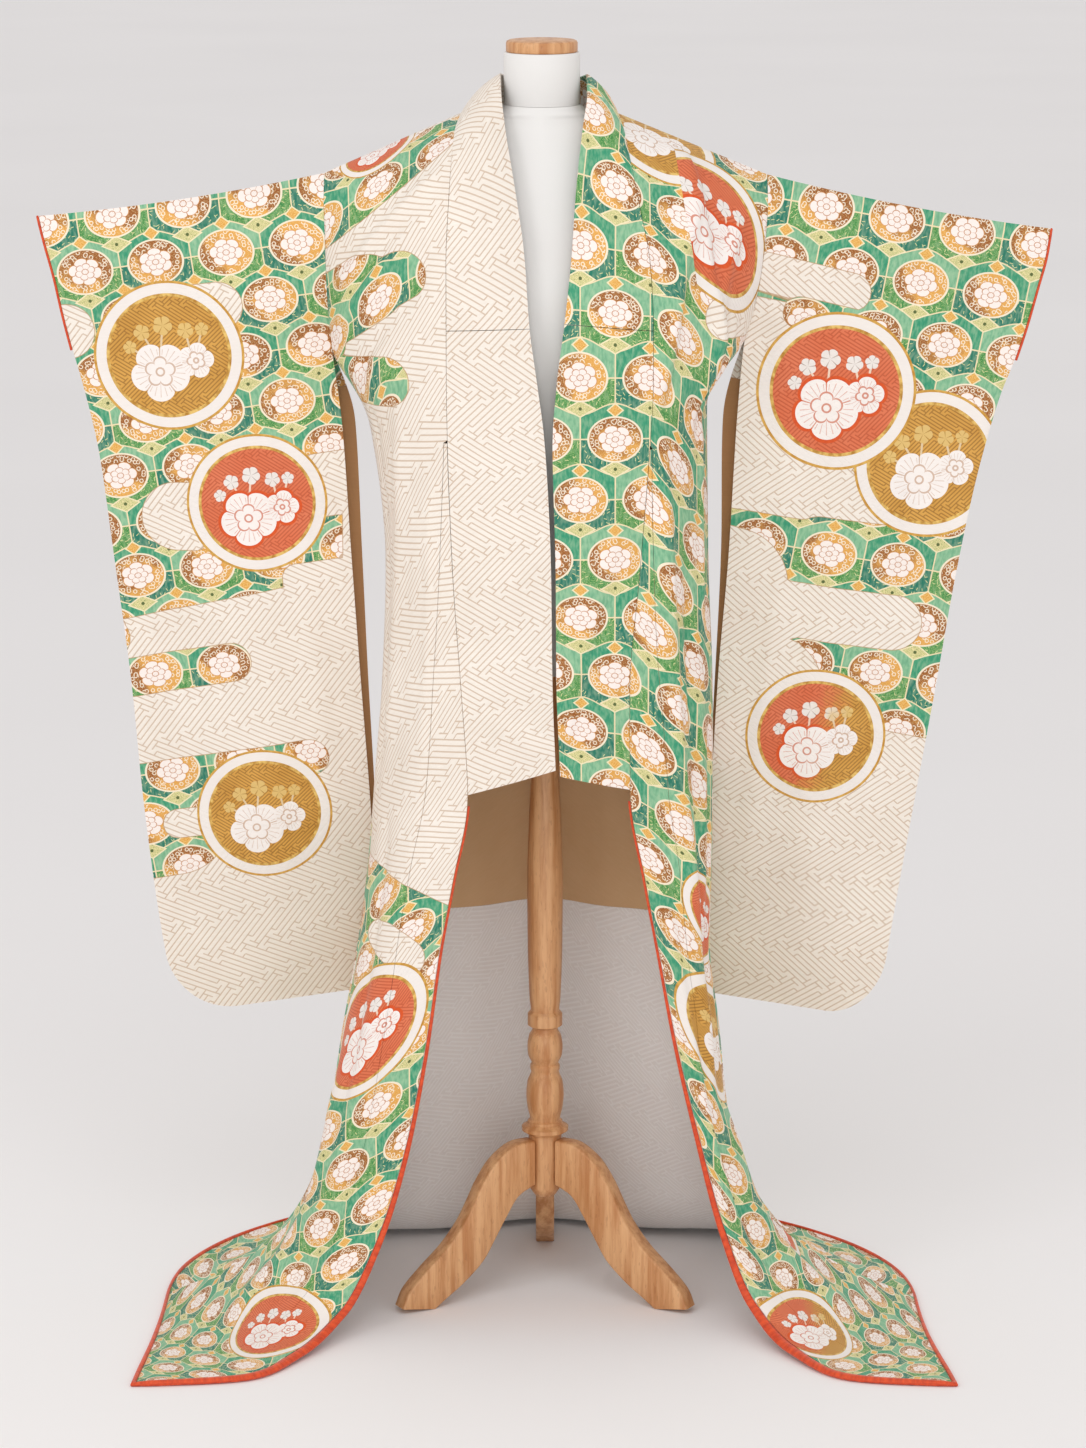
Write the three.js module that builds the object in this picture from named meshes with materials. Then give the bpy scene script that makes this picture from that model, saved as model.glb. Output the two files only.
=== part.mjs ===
// A furisode with a padded trailing hem, worn open by a limbless dress form on a turned stand.
// Millimetres, +Z up, the front faces -Y, the origin is on the floor at the pole's axis.
// Each cut and sewn piece is a thin closed solid over one shared drape, apart from its neighbours by a seam.
import * as THREE from "three";

// ---- walls and seams ----
const CLOTH = 1.6; // outer silk with its interlining
const LINING = 1.0;
const COLLAR = 3.0; // collar band, folded double
const CUFF_ROLL = 1.6;
const SEAM = 0.3;
const ROLL_TOP = 1.5; // half width of the padded edge at the collar's end
const ROLL_FLOOR = 7; // where it turns onto the floor
const ROLL_HEM = 3; // and along the hem

const BACKING = CLOTH / 2 + SEAM + LINING / 2; // from the middle of the silk to the middle of the lining
// ---- rows of the drape ----
const ARMPIT = 6; // rows 0..6 run from the shoulder fold down the armhole
const NECK_ROW = 3; // the centre back seam begins at this row
const OKUMI_TIP = 7;
const COLLAR_END = 10;
const HEM = 19;
const TAN_TOP = 8; // the lining starts here
const TAN_END = 12; // and changes from tan to white here
const TOMOERI = 5; // the over collar ends here

// x is measured outward from the centre plane. f: inner line of the front (collar seam, then front edge),
// s: armhole, then side; open: half of the armhole's width; b: inner line of the back (neckline, then centre back);
// rf, rb: how round the front and the back turn the side; ok: share of the front that the overlap panel takes.
const COLUMNS = ["fx", "fy", "fz", "sx", "sy", "sz", "open", "bx", "by", "bz", "rf", "rb", "ok"];
const DRAPE = {
  left: [
    [105, 0, 1569, 281, 0, 1492, 0, 105, 0, 1569, 0, 0, 0.02], // shoulder fold
    [113, -48, 1551, 281, 0, 1479, 16, 92, 42, 1561, 0.1, 0.1, 0.02],
    [117, -88, 1519, 281, 0, 1458, 27, 48, 82, 1550, 0.2, 0.2, 0.02],
    [121, -118, 1463, 280, 0, 1422, 33, 0, 100, 1527, 0.3, 0.2, 0.02],
    [124, -134, 1390, 279, 0, 1373, 32, 0, 116, 1440, 0.35, 0.3, 0.02],
    [124, -140, 1310, 277, 0, 1322, 25, 0, 124, 1350, 0.45, 0.4, 0.02],
    [124, -142, 1245, 273, 0, 1270, 12, 0, 126, 1265, 0.6, 0.6, 0.02], // end of the armhole
    [123, -142, 1168, 226, 0, 1172, 0, 0, 124, 1170, 0.85, 0.9, 0.03], // tip of the overlap panel
    [117, -140, 1000, 206, 0, 995, 0, 0, 122, 1000, 1, 1, 0.12],
    [107, -140, 850, 211, -8, 835, 0, 0, 130, 840, 1, 1, 0.22],
    [99, -140, 711, 220, -20, 720, 0, 0, 142, 700, 1, 0.9, 0.28], // end of the collar
    [118, -142, 600, 229, -30, 602, 0, 0, 156, 590, 1, 0.75, 0.32],
    [136, -144, 505, 243, -38, 490, 0, 0, 169, 492, 1, 0.6, 0.33],
    [156, -146, 371, 264, -40, 372, 0, 0, 192, 350, 1, 0.45, 0.33],
    [184, -152, 232, 283, -40, 255, 0, 0, 204, 230, 1, 0.35, 0.33],
    [222, -172, 115, 311, -32, 150, 0, 0, 216, 120, 1, 0.3, 0.33],
    [268, -208, 36, 356, -15, 76, 0, 0, 226, 40, 1, 0.3, 0.33],
    [320, -280, 10, 412, 0, 30, 0, 0, 252, 8, 0.8, 0.35, 0.33],
    [380, -352, 3.6, 462, -10, 8, 0, 0, 318, 3.2, 0.45, 0.65, 0.33],
    [518, -380, 2.4, 501, -40, 2.4, 0, 0, 380, 2.4, 0.1, 1, 0.33], // hem
  ],
  right: [
    [92, 0, 1568, 283, 0, 1490, 0, 92, 0, 1568, 0, 0, 0.02],
    [99, -48, 1550, 283, 0, 1477, 16, 84, 42, 1559, 0.1, 0.1, 0.02],
    [107, -88, 1517, 283, 0, 1456, 27, 44, 82, 1549, 0.2, 0.2, 0.02],
    [119, -118, 1461, 281, 0, 1419, 33, 0, 100, 1527, 0.3, 0.2, 0.02],
    [132, -134, 1390, 276, 0, 1373, 32, 0, 116, 1440, 0.35, 0.3, 0.02],
    [136, -140, 1310, 268, 0, 1326, 25, 0, 124, 1350, 0.45, 0.4, 0.02],
    [136, -142, 1240, 256, 0, 1282, 12, 0, 126, 1265, 0.6, 0.6, 0.02],
    [132, -142, 1160, 208, 0, 1195, 0, 0, 124, 1170, 0.85, 0.9, 0.03],
    [120, -140, 1000, 211, 0, 1000, 0, 0, 122, 1000, 1, 1, 0.12],
    [108, -140, 850, 217, -8, 835, 0, 0, 130, 840, 1, 1, 0.22],
    [109, -140, 718, 218, -20, 720, 0, 0, 142, 700, 1, 0.9, 0.28],
    [129, -142, 599, 217, -30, 602, 0, 0, 156, 590, 1, 0.75, 0.32],
    [148, -144, 500, 214, -38, 490, 0, 0, 169, 492, 1, 0.6, 0.33],
    [171, -146, 380, 227, -40, 372, 0, 0, 192, 350, 1, 0.45, 0.33],
    [201, -150, 255, 240, -40, 255, 0, 0, 204, 230, 1, 0.35, 0.33],
    [236, -166, 130, 272, -30, 150, 0, 0, 216, 120, 1, 0.3, 0.33],
    [273, -200, 48, 320, -15, 80, 0, 0, 226, 40, 1, 0.3, 0.33],
    [320, -270, 13, 384, 0, 34, 0, 0, 252, 8, 0.8, 0.35, 0.33],
    [388, -352, 3.6, 446, -15, 8, 0, 0, 318, 3.2, 0.45, 0.6, 0.33],
    [516, -380, 2.4, 491, -60, 2.4, 0, 0, 380, 2.4, 0.1, 0.7, 0.33],
  ],
};

// Free inner edge of the collar, from the centre back (row -3) over the shoulder to its lower end (row 10).
const COLLAR_COLUMNS = ["ex", "ey", "ez", "roll"];
const COLLAR_EDGE = {
  left: [
    [0, 84, 1590, 3], [30, 74, 1602, 3], [50, 44, 1612, 4], [56, 8, 1617, 5], [55, -30, 1598, 6],
    [50, -64, 1556, 7], [38, -100, 1486, 7], [26, -124, 1405, 6], [19, -138, 1312, 5], [9, -146, 1240, 4],
    [0, -149, 1168, 4], [-8, -151, 1010, 4], [-10, -151, 860, 4], [-14, -151, 746, 4],
  ],
  right: [
    [0, 84, 1590, 3], [29, 74, 1602, 3], [49, 44, 1612, 4], [53, 8, 1616, 5], [53, -30, 1596, 6],
    [47, -64, 1552, 7], [39, -100, 1482, 7], [33, -124, 1400, 6], [24, -138, 1318, 5], [14, -146, 1240, 4],
    [9, -149, 1160, 4], [13, -151, 1000, 4], [14, -151, 860, 4], [19, -151, 738, 4],
  ],
};

// Rows of a sleeve: 0..6 share the armhole with the body, 6..12 hang free. i: inner edge, o: outer edge,
// gi, gm, go: half of the space between front and back at the inner edge, in the middle and at the outer edge,
// strip: how far the back reaches past the front at the open inner edge.
const SLEEVE_END = 12;
const SLEEVE_COLUMNS = ["ix", "iy", "iz", "ox", "oy", "oz", "gi", "gm", "go", "strip"];
const SLEEVE_ROUND = 84; // radius of the outer lower corner
const SAG = 6; // the top fold hangs through between the armhole and the wrist
const WRIST = 5; // the wrist opening ends at this row
const SLEEVE = {
  left: [
    [281, 0, 1492, 646, 0, 1437, 0, 0, 0, 0],
    [281, 0, 1479, 643, 0, 1425, 16, 10, 4, 0],
    [281, 0, 1458, 637, 0, 1400, 27, 14, 5, 0],
    [280, 0, 1422, 627, 0, 1361, 33, 16, 5, 0],
    [279, 0, 1373, 617, 0, 1313, 32, 16, 5, 0],
    [277, 0, 1322, 606, 0, 1266, 25, 16, 4, 0],
    [273, 0, 1270, 594, 0, 1220, 12, 15, 1, 0],
    [261, 2, 1172, 576, 2, 1135, 13, 14, 1, 16],
    [251, 10, 1000, 559, 8, 990, 13, 14, 1, 13],
    [241, 26, 830, 541, 16, 825, 12, 13, 1, 9],
    [232, 50, 680, 530, 26, 672, 11, 12, 1, 6],
    [225, 80, 535, 514, 38, 515, 10, 10, 1, 3],
    [218, 112, 386, 492, 50, 363, 1, 1, 1, 0],
  ],
  right: [
    [283, 0, 1490, 645, 0, 1421, 0, 0, 0, 0],
    [283, 0, 1477, 643, 0, 1409, 16, 10, 4, 0],
    [283, 0, 1456, 639, 0, 1384, 27, 14, 5, 0],
    [281, 0, 1419, 629, 0, 1345, 33, 16, 5, 0],
    [276, 0, 1373, 617, 0, 1299, 32, 16, 5, 0],
    [268, 0, 1326, 603, 0, 1253, 25, 16, 4, 0],
    [256, 0, 1282, 586, 0, 1207, 12, 15, 1, 0],
    [247, 2, 1180, 558, 2, 1100, 13, 14, 1, 17],
    [238, 10, 1000, 533, 8, 965, 13, 14, 1, 9],
    [226, 26, 830, 510, 16, 812, 12, 13, 1, 3],
    [220, 50, 680, 487, 26, 664, 11, 12, 1, 2],
    [217, 80, 535, 464, 38, 510, 10, 10, 1, 2],
    [214, 112, 377, 443, 50, 357, 1, 1, 1, 0],
  ],
};

// Largest folds. face: front, back or collar; path: [row, share of the width] points; wi, wo: half widths toward the
// inner edge and toward the side; h: height, negative for a valley.
const FOLDS = [
  { side: "left", face: "front", path: [[2.0, 0.02], [4.6, 0.92]], wi: 16, wo: 12, h: 7 },
  { side: "left", face: "front", path: [[2.9, 0.12], [5.6, 0.94]], wi: 12, wo: 14, h: 6 },
  { side: "left", face: "front", path: [[3.4, 0.02], [6.8, 0.75]], wi: 12, wo: 12, h: -5 },
  { side: "left", face: "front", path: [[6.2, 0.3], [8.2, 0.6], [10, 0.7]], wi: 18, wo: 14, h: 5 },
  { side: "left", face: "front", path: [[8.4, 0.35], [12, 0.42], [16, 0.6]], wi: 22, wo: 26, h: 6 },
  { side: "left", face: "front", path: [[13, 0.75], [15.5, 0.72], [17.6, 0.62]], wi: 34, wo: 30, h: 13 },
  { side: "right", face: "front", path: [[2.2, 0.42], [4.5, 0.2], [6.5, 0.06]], wi: 20, wo: 10, h: 11 },
  { side: "right", face: "front", path: [[2.4, 0.78], [4.5, 0.55], [7.5, 0.5]], wi: 14, wo: 12, h: 7 },
  { side: "right", face: "front", path: [[6.6, 0.1], [7.6, 0.22], [8.7, 0.32], [10.2, 0.42], [11.3, 0.47], [14, 0.5]], wi: 22, wo: 9, h: 12 },
  { side: "right", face: "front", path: [[7.4, 0.4], [8.7, 0.52], [11.3, 0.68], [14, 0.72]], wi: 10, wo: 12, h: -9 },
  { side: "right", face: "front", path: [[13.6, 0.78], [15.6, 0.74], [17.6, 0.64]], wi: 34, wo: 30, h: 13 },
  { side: "right", face: "collar", path: [[7.6, 0.72], [8.3, 0.48], [9, 0.24], [9.8, 0.05]], wi: 10, wo: 26, h: 6 },
  { side: "left", face: "collar", path: [[9.2, 0.75], [9.85, 0.1]], wi: 14, wo: 14, h: 2.5 },
];
const FLUTES = { count: 2, rows: [7, 10, 13, 15.5, 17.5, 19], heights: [1, 4, 9, 9, 3, 0.6] };

// ---- dress form and stand ----
// Horizontal sections of the torso: height, centre x and y, half width, half depth, fullness of the curve.
const TORSO = [
  [858, 0, 2, 158, 104, 2.2], [880, 0, 2, 166, 110, 2.2], [960, 0, 0, 158, 104, 2.2], [1060, 0, 0, 132, 94, 2.1],
  [1160, 0, -4, 144, 102, 2.1], [1260, 0, -6, 162, 110, 2.1], [1340, 0, -6, 170, 108, 2.1], [1420, 0, -2, 180, 98, 2.0],
  [1470, -4, 2, 184, 86, 1.8], [1500, -4, 3, 182, 68, 1.6], [1524, -4, 2, 176, 50, 1.35], [1542.8, -4.4, 1, 154.8, 50, 1.2],
  [1555.8, -5.5, 0, 123.9, 52, 1.15], [1565, -5, 0, 84, 51, 1.5], [1572, -4, 0, 60, 50, 2.0], [1580, -4, 0, 49, 49, 2.0],
];
const NECK = { x: -4, radius: 48.5, bottom: 1580.3, top: 1646 };
const CAP = { x: -4, radius: 45.5, bottom: 1646.3, top: 1661 };
const TORSO_BOTTOM = 858;
// Turned profile of the pole, radius and height.
const POLE = [
  [31, 218.3], [31, 223], [23, 228], [23, 231], [20, 233], [23.5, 250], [25, 267], [23.5, 285], [18.5, 300], [19.7, 302.5],
  [19.7, 308], [17.5, 310.5], [22.5, 322], [23.5, 334], [21, 350], [17, 357], [17, 360], [23, 364], [23, 379], [19, 384],
  [20.5, 400], [23, 480], [23.5, 560], [21.5, 640], [18.5, 710], [18.5, 857.7],
];
const HUB = [[14, 127], [22, 140], [22, 212], [29, 218]];
// Cabriole leg, radius from the axis and height: upper line outward, lower line back to the hub.
const LEG_UP = [[22.6, 208], [51, 206], [80, 188], [101, 161], [113, 139], [130, 110], [155, 81], [187, 54], [212, 30], [223, 8], [223, 0]];
const LEG_LOW = [[173, 0], [155, 12], [130, 28], [101, 53], [83, 80], [65, 109], [47, 134], [22.6, 146]];
const LEG_WIDTH = 25;
const LEGS = { leg_front_left: 210, leg_front_right: -30, leg_back: 90 };

// ---- interpolation ----
// Monotone cubic through equally spaced values, so nothing dips under the floor.
function curve(values, at) {
  const n = values.length - 1, x = Math.min(Math.max(at, 0), n), i = Math.min(Math.floor(x), n - 1), t = x - i;
  const d = (k) => values[k + 1] - values[k];
  const slope = (k) => {
    if (k === 0) return d(0);
    if (k === n) return d(n - 1);
    const a = d(k - 1), b = d(k);
    return a * b <= 0 ? 0 : (2 * a * b) / (a + b);
  };
  const h00 = (1 + 2 * t) * (1 - t) ** 2, h10 = t * (1 - t) ** 2, h01 = t * t * (3 - 2 * t), h11 = t * t * (t - 1);
  return h00 * values[i] + h10 * slope(i) + h01 * values[i + 1] + h11 * slope(i + 1);
}
const column = (table, names, name) => table.map((row) => row[names.indexOf(name)]);
const reader = (tables, names) => {
  const columns = {};
  for (const side in tables) {
    columns[side] = {};
    for (const name of names) columns[side][name] = column(tables[side], names, name);
  }
  return (side, at) => {
    const row = {};
    for (const name of names) row[name] = curve(columns[side][name], at);
    return row;
  };
};
const drapeRow = reader(DRAPE, COLUMNS);
const collarRow = reader(COLLAR_EDGE, COLLAR_COLUMNS);
const sleeveRow = reader(SLEEVE, SLEEVE_COLUMNS);
function along(xs, ys, x) {
  if (x <= xs[0]) return ys[0];
  for (let i = 1; i < xs.length; i++) if (x <= xs[i]) return ys[i - 1] + ((ys[i] - ys[i - 1]) * (x - xs[i - 1])) / (xs[i] - xs[i - 1]);
  return ys[ys.length - 1];
}
const vec = (x, y, z) => new THREE.Vector3(x, y, z);
const mirror = { left: -1, right: 1 };

// ---- surfaces: each gives a point for (row, share), x already on its own side ----
function normalOf(surface, w, a, dw = 0.02, da = 0.01) {
  const along1 = surface(w + dw, a).sub(surface(w - dw, a));
  const across = surface(w, a + da).sub(surface(w, a - da));
  return along1.cross(across).normalize();
}
function foldHeight(side, face, r, a, width) {
  let h = 0;
  for (const fold of FOLDS) {
    if (fold.side !== side || fold.face !== face) continue;
    const rows = fold.path.map((p) => p[0]), first = rows[0], last = rows[rows.length - 1];
    if (r < first || r > last) continue;
    const s = (r - first) / (last - first), fade = Math.min(1, 5 * s, 5 * (1 - s));
    const d = (a - along(rows, fold.path.map((p) => p[1]), r)) * width;
    h += fold.h * fade * fade * (3 - 2 * fade) * Math.exp(-((d / (d < 0 ? fold.wi : fold.wo)) ** 2));
  }
  return h;
}
function bodyBase(side, w, a) {
  if (a > 1 && Math.abs(w) >= OKUMI_TIP) return bodyBase(side, -w, 2 - a);
  const front = w < 0, row = drapeRow(side, Math.abs(w));
  const I = front ? vec(row.fx, row.fy, row.fz) : vec(row.bx, row.by, row.bz);
  const S = vec(row.sx, row.sy + (front ? -row.open : row.open), row.sz);
  const round = front ? row.rf : row.rb, k = 0.552;
  const P1 = I.clone().lerp(S, 1 / 3), P2 = I.clone().lerp(S, 2 / 3);
  P1.x += (I.x + k * (S.x - I.x) - P1.x) * round;
  P1.y += (I.y - P1.y) * round;
  // below the armhole the front and the back run smoothly into each other at the side
  const turn = Math.max(round, Math.min(1, Math.max(0, (Math.abs(w) - ARMPIT) / 1.2)));
  P2.x += (S.x - P2.x) * turn;
  P2.y += (S.y + k * (I.y - S.y) - P2.y) * turn;
  const b = 1 - a;
  return vec(0, 0, 0)
    .addScaledVector(I, b * b * b)
    .addScaledVector(P1, 3 * b * b * a)
    .addScaledVector(P2, 3 * b * a * a)
    .addScaledVector(S, a * a * a)
    .multiply(vec(mirror[side], 1, 1));
}
// w < 0 is the front, w > 0 the back; a runs from the inner line (0) to the side (1).
function body(side, w, a) {
  if (a > 1 && Math.abs(w) >= OKUMI_TIP) return body(side, -w, 2 - a);
  const r = Math.abs(w), p = bodyBase(side, w, a), base = (u, v) => bodyBase(side, u, v);
  const width = base(w, 1).distanceTo(base(w, 0)) * 1.12;
  let h = 0;
  // folds die out toward the side and, above the collar's end, toward the collar seam
  const near = Math.min(1, Math.max(0, (1 - a) / 0.14)) * (r < COLLAR_END + 0.5 ? Math.min(1, Math.max(0, a / 0.06)) : 1);
  if (w < 0) h = foldHeight(side, "front", r, a, width) * near * near * (3 - 2 * near);
  else h = along(FLUTES.rows, FLUTES.heights, r) * (r > FLUTES.rows[0] ? 1 : 0) * Math.sqrt(Math.max(0, Math.sin(Math.PI * a))) * Math.cos(2 * Math.PI * FLUTES.count * a) * Math.min(1, (r - FLUTES.rows[0]) / 2);
  if (Math.abs(h) < 1e-6) return p;
  const n = normalOf(base, w, a).multiplyScalar(-mirror[side]);
  const q = p.clone().addScaledVector(n, h);
  q.z = Math.max(q.z, Math.min(p.z, 2.4));
  return q;
}
// Across the armhole seam the body and the sleeve share one normal, square to the seam and outward.
function armNormal(side, w) {
  const t = bodyBase(side, w + 0.02, 1).sub(bodyBase(side, w - 0.02, 1));
  return vec(0, -t.z, t.y).normalize();
}
// Row w from the centre back (-3) to the end (10); a runs from the seam (0) to the free edge (1).
function collarBase(side, w, a) {
  const row = drapeRow(side, Math.abs(w)), edge = collarRow(side, w + 3);
  const S = w < 0 ? vec(row.bx, row.by, row.bz) : vec(row.fx, row.fy, row.fz);
  return S.lerp(vec(edge.ex, edge.ey, edge.ez), a).multiply(vec(mirror[side], 1, 1));
}
function collar(side, w, a) {
  const base = (u, v) => collarBase(side, u, v), p = base(w, a), c = Math.min(Math.max(a, 0), 1);
  const h = collarRow(side, w + 3).roll * 4 * c * (1 - c) + foldHeight(side, "collar", w, 1 - a, -110) * Math.min(1, 6 * c);
  const n = normalOf(base, w, Math.min(Math.max(a, 0.02), 0.98)).multiplyScalar(-mirror[side]);
  return p.addScaledVector(n, h);
}
// Row w, negative in front, 0 at the top fold; u runs from the inner edge (0) to the outer edge (1).
function sleeve(side, w, u) {
  const front = w < 0, r = Math.abs(w);
  const big = { u: 1 - SLEEVE_ROUND / 285, r: SLEEVE_END - SLEEVE_ROUND / 146 };
  let uu = u, rr = r;
  if (u > big.u && r > big.r) {
    const a = Math.min((u - big.u) / (1 - big.u), 1), b = Math.min((r - big.r) / (SLEEVE_END - big.r), 1);
    uu = big.u + (1 - big.u) * a * Math.sqrt(1 - (b * b) / 2);
    rr = big.r + (SLEEVE_END - big.r) * b * Math.sqrt(1 - (a * a) / 2);
  }
  const row = sleeveRow(side, rr), own = sleeveRow(side, r);
  const inner = vec(row.ix - (front ? 0 : own.strip), row.iy, row.iz);
  const p = inner.lerp(vec(row.ox, row.oy, row.oz), uu);
  const seam = (CLOTH + SEAM) / 2;
  const taper = Math.sqrt(Math.max(0, 1 - Math.max(0, (u - 0.9) / 0.1) ** 2));
  const mid = u < 0.5 ? own.gi + (own.gm - own.gi) * (u / 0.5) : own.gm + (own.go - own.gm) * ((u - 0.5) / 0.5);
  let g = (mid - own.go) * (u > 0.9 ? taper : 1) + own.go;
  g = u > 0.9 ? own.go + (own.gm + (own.go - own.gm) * 0.8 - own.go) * taper : g;
  const close = Math.sqrt(Math.max(0, 1 - Math.max(0, (r - (SLEEVE_END - 0.35)) / 0.35) ** 2));
  g = Math.max(g * (r > SLEEVE_END - 0.35 ? close : 1), seam * Math.min(1, r * 3));
  p.y += front ? -g : g;
  p.z -= SAG * 4 * uu * (1 - uu) * Math.max(0, 1 - r / 9);
  return p.multiply(vec(mirror[side], 1, 1));
}

// ---- solids ----
// A closed sheet over a grid of (row, share) points; edges named in inset step back by half a seam.
function sheet(surface, rows, shares, thickness, { face = 1, inset = SEAM / 2, shift = 0, edgeNormal = null, centre = null, out = 1, flip = false } = {}) {
  const n = rows.length, m = shares(rows[0]).length, top = [], low = [];
  for (let i = 0; i < n; i++) {
    const line = shares(rows[i]);
    for (let j = 0; j < m; j++) {
      const w = rows[i], a = line[j], p = surface(w, a);
      const normal = normalOf(surface, w, a).multiplyScalar(face);
      const set = edgeNormal && edgeNormal(w, a);
      if (set) normal.copy(set);
      const centred = centre && centre(w, a);
      if (centred) normal.setX(0).normalize(); // both halves meet square at the centre back
      if (centred) p.x = out * inset;
      else if (j === 0) p.addScaledVector(surface(w, line[1]).sub(p).normalize(), inset);
      if (j === m - 1) p.addScaledVector(surface(w, line[m - 2]).sub(surface(w, a)).normalize(), inset);
      if (i === 0 && !centred) p.addScaledVector(surface(rows[1], a).sub(surface(w, a)).normalize(), inset);
      if (i === n - 1) p.addScaledVector(surface(rows[n - 2], a).sub(surface(w, a)).normalize(), inset);
      top.push(p.clone().addScaledVector(normal, thickness / 2 + shift));
      low.push(p.clone().addScaledVector(normal, -thickness / 2 + shift));
    }
  }
  const positions = [...top, ...low], index = [], K = n * m;
  const quad = (a, b, c, d) => index.push(a, b, c, a, c, d);
  for (let i = 0; i + 1 < n; i++)
    for (let j = 0; j + 1 < m; j++) {
      const a = i * m + j, b = a + 1, c = a + m + 1, d = a + m;
      if (flip) quad(b, c, d, a);
      else quad(a, b, c, d);
      if (flip) quad(K + b, K + a, K + d, K + c);
      else quad(K + a, K + d, K + c, K + b);
    }
  const rim = [];
  for (let j = 0; j < m; j++) rim.push(j);
  for (let i = 1; i < n; i++) rim.push(i * m + m - 1);
  for (let j = m - 2; j >= 0; j--) rim.push((n - 1) * m + j);
  for (let i = n - 2; i > 0; i--) rim.push(i * m);
  rim.forEach((a, k) => {
    const b = rim[(k + 1) % rim.length];
    quad(a, K + a, K + b, b);
  });
  return solid(positions, index);
}
function solid(points, index) {
  const geometry = new THREE.BufferGeometry();
  geometry.setAttribute("position", new THREE.Float32BufferAttribute(points.flatMap((p) => [p.x, p.y, p.z]), 3));
  let volume = 0;
  for (let i = 0; i < index.length; i += 3) volume += points[index[i]].dot(points[index[i + 1]].clone().cross(points[index[i + 2]]));
  if (volume < 0) for (let i = 0; i < index.length; i += 3) [index[i], index[i + 1]] = [index[i + 1], index[i]];
  geometry.setIndex(index);
  geometry.computeVertexNormals();
  return geometry;
}
// A rod swept along points, its oval section spanned by out (in the cloth's plane) and up (across it).
function rod(stations, around = 6) {
  const points = [], index = [], n = stations.length;
  for (const { centre, out, up, width, height } of stations)
    for (let k = 0; k < around; k++) {
      const angle = (2 * Math.PI * (k + 0.5)) / around;
      points.push(centre.clone().addScaledVector(out, width * Math.cos(angle)).addScaledVector(up, height * Math.sin(angle)));
    }
  for (let i = 0; i + 1 < n; i++)
    for (let k = 0; k < around; k++) {
      const a = i * around + k, b = i * around + ((k + 1) % around), c = b + around, d = a + around;
      index.push(a, b, c, a, c, d);
    }
  for (let k = 1; k + 1 < around; k++) {
    index.push(0, k + 1, k);
    const e = (n - 1) * around;
    index.push(e, e + k, e + k + 1);
  }
  return solid(points, index);
}
const steps = (from, to, count) => Array.from({ length: count + 1 }, (_, i) => from + ((to - from) * i) / count);

// ---- sampling of the rows, shared by everything that touches ----
const ARM_ROWS = [0, 0.5, 1, 2, 3, 4, 5, 6];
const LOW_ROWS = [6.5, 7, 7.5, 8, 9, 10, 11, 12, 13, 14, 15, 15.5, 16, 16.5, 17, 17.5, 18, 18.5, 19];
const FRONT_ROWS = [...ARM_ROWS, ...LOW_ROWS];
const OKUMI_ROWS = LOW_ROWS.filter((r) => r >= OKUMI_TIP);
const FRONT_COLUMNS = 7, BACK_COLUMNS = 7, OKUMI_COLUMNS = 3;
const frontShares = (side) => (w) => {
  const r = Math.abs(w);
  if (w >= 0) return steps(0, 1, BACK_COLUMNS);
  return steps(r > OKUMI_TIP - 0.01 ? drapeRow(side, r).ok : 0, 1, FRONT_COLUMNS);
};

const silk = (color, roughness = 0.55) => new THREE.MeshStandardMaterial({ color, roughness, metalness: 0, side: THREE.DoubleSide });
const MATERIALS = {
  ivory: silk(0xeee6d8), green: silk(0x58ab88), tan: silk(0xc9ad84, 0.7), brown: silk(0xa57a55, 0.7), white: silk(0xe8e4e2, 0.6),
  orange: silk(0xd9481c, 0.5), form: silk(0xf2f2f1, 0.8),
  wood: new THREE.MeshStandardMaterial({ color: 0xcf9b6b, roughness: 0.45, metalness: 0 }),
};
const furisode = new THREE.Group();
const stand = new THREE.Group();
const all = new THREE.Group();
all.add(furisode, stand);
function add(group, name, geometry, material) {
  const mesh = new THREE.Mesh(geometry, MATERIALS[material]);
  mesh.name = name;
  group.add(mesh);
  return mesh;
}

for (const side of ["left", "right"]) {
  const out = mirror[side], face = -out, cloth = (w, a) => body(side, w, a);
  // Body panel, one length of cloth from the front hem over the shoulder to the back hem.
  const rows = [...[...FRONT_ROWS].reverse().map((r) => -r), ...FRONT_ROWS.slice(1)];
  add(furisode, `body_${side}`, sheet(cloth, rows, frontShares(side), CLOTH, { face, out, centre: (w, a) => w >= NECK_ROW && a === 0, edgeNormal: (w, a) => (a === 1 && Math.abs(w) <= ARMPIT ? armNormal(side, w) : null) }), side === "left" ? "ivory" : "green");
  // Overlap panel between the front edge and the body panel.
  const okumiRows = [...OKUMI_ROWS].reverse().map((r) => -r);
  add(furisode, `okumi_${side}`, sheet(cloth, okumiRows, (w) => steps(0, drapeRow(side, -w).ok, OKUMI_COLUMNS), CLOTH, { face, inset: 0.4 }), side === "left" ? "ivory" : "green");
  // Collar band and the over collar that covers it round the neck.
  const band = (w, a) => collar(side, w, a);
  add(furisode, `over_collar_${side}`, sheet(band, [-3, -2, -1, -0.5, 0, 0.5, 1, 1.5, 2, 3, 4, TOMOERI], () => steps(0, 1, 4), COLLAR, { face, out, inset: 0.45, centre: (w) => w === -NECK_ROW }), side === "left" ? "ivory" : "green");
  add(furisode, `collar_${side}`, sheet(band, [TOMOERI, 5.5, 6, 7, 7.5, 8, 8.5, 9, 9.5, 10], () => steps(0, 1, 4), COLLAR, { face, inset: 0.45 }), side === "left" ? "ivory" : "green");
}

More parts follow.
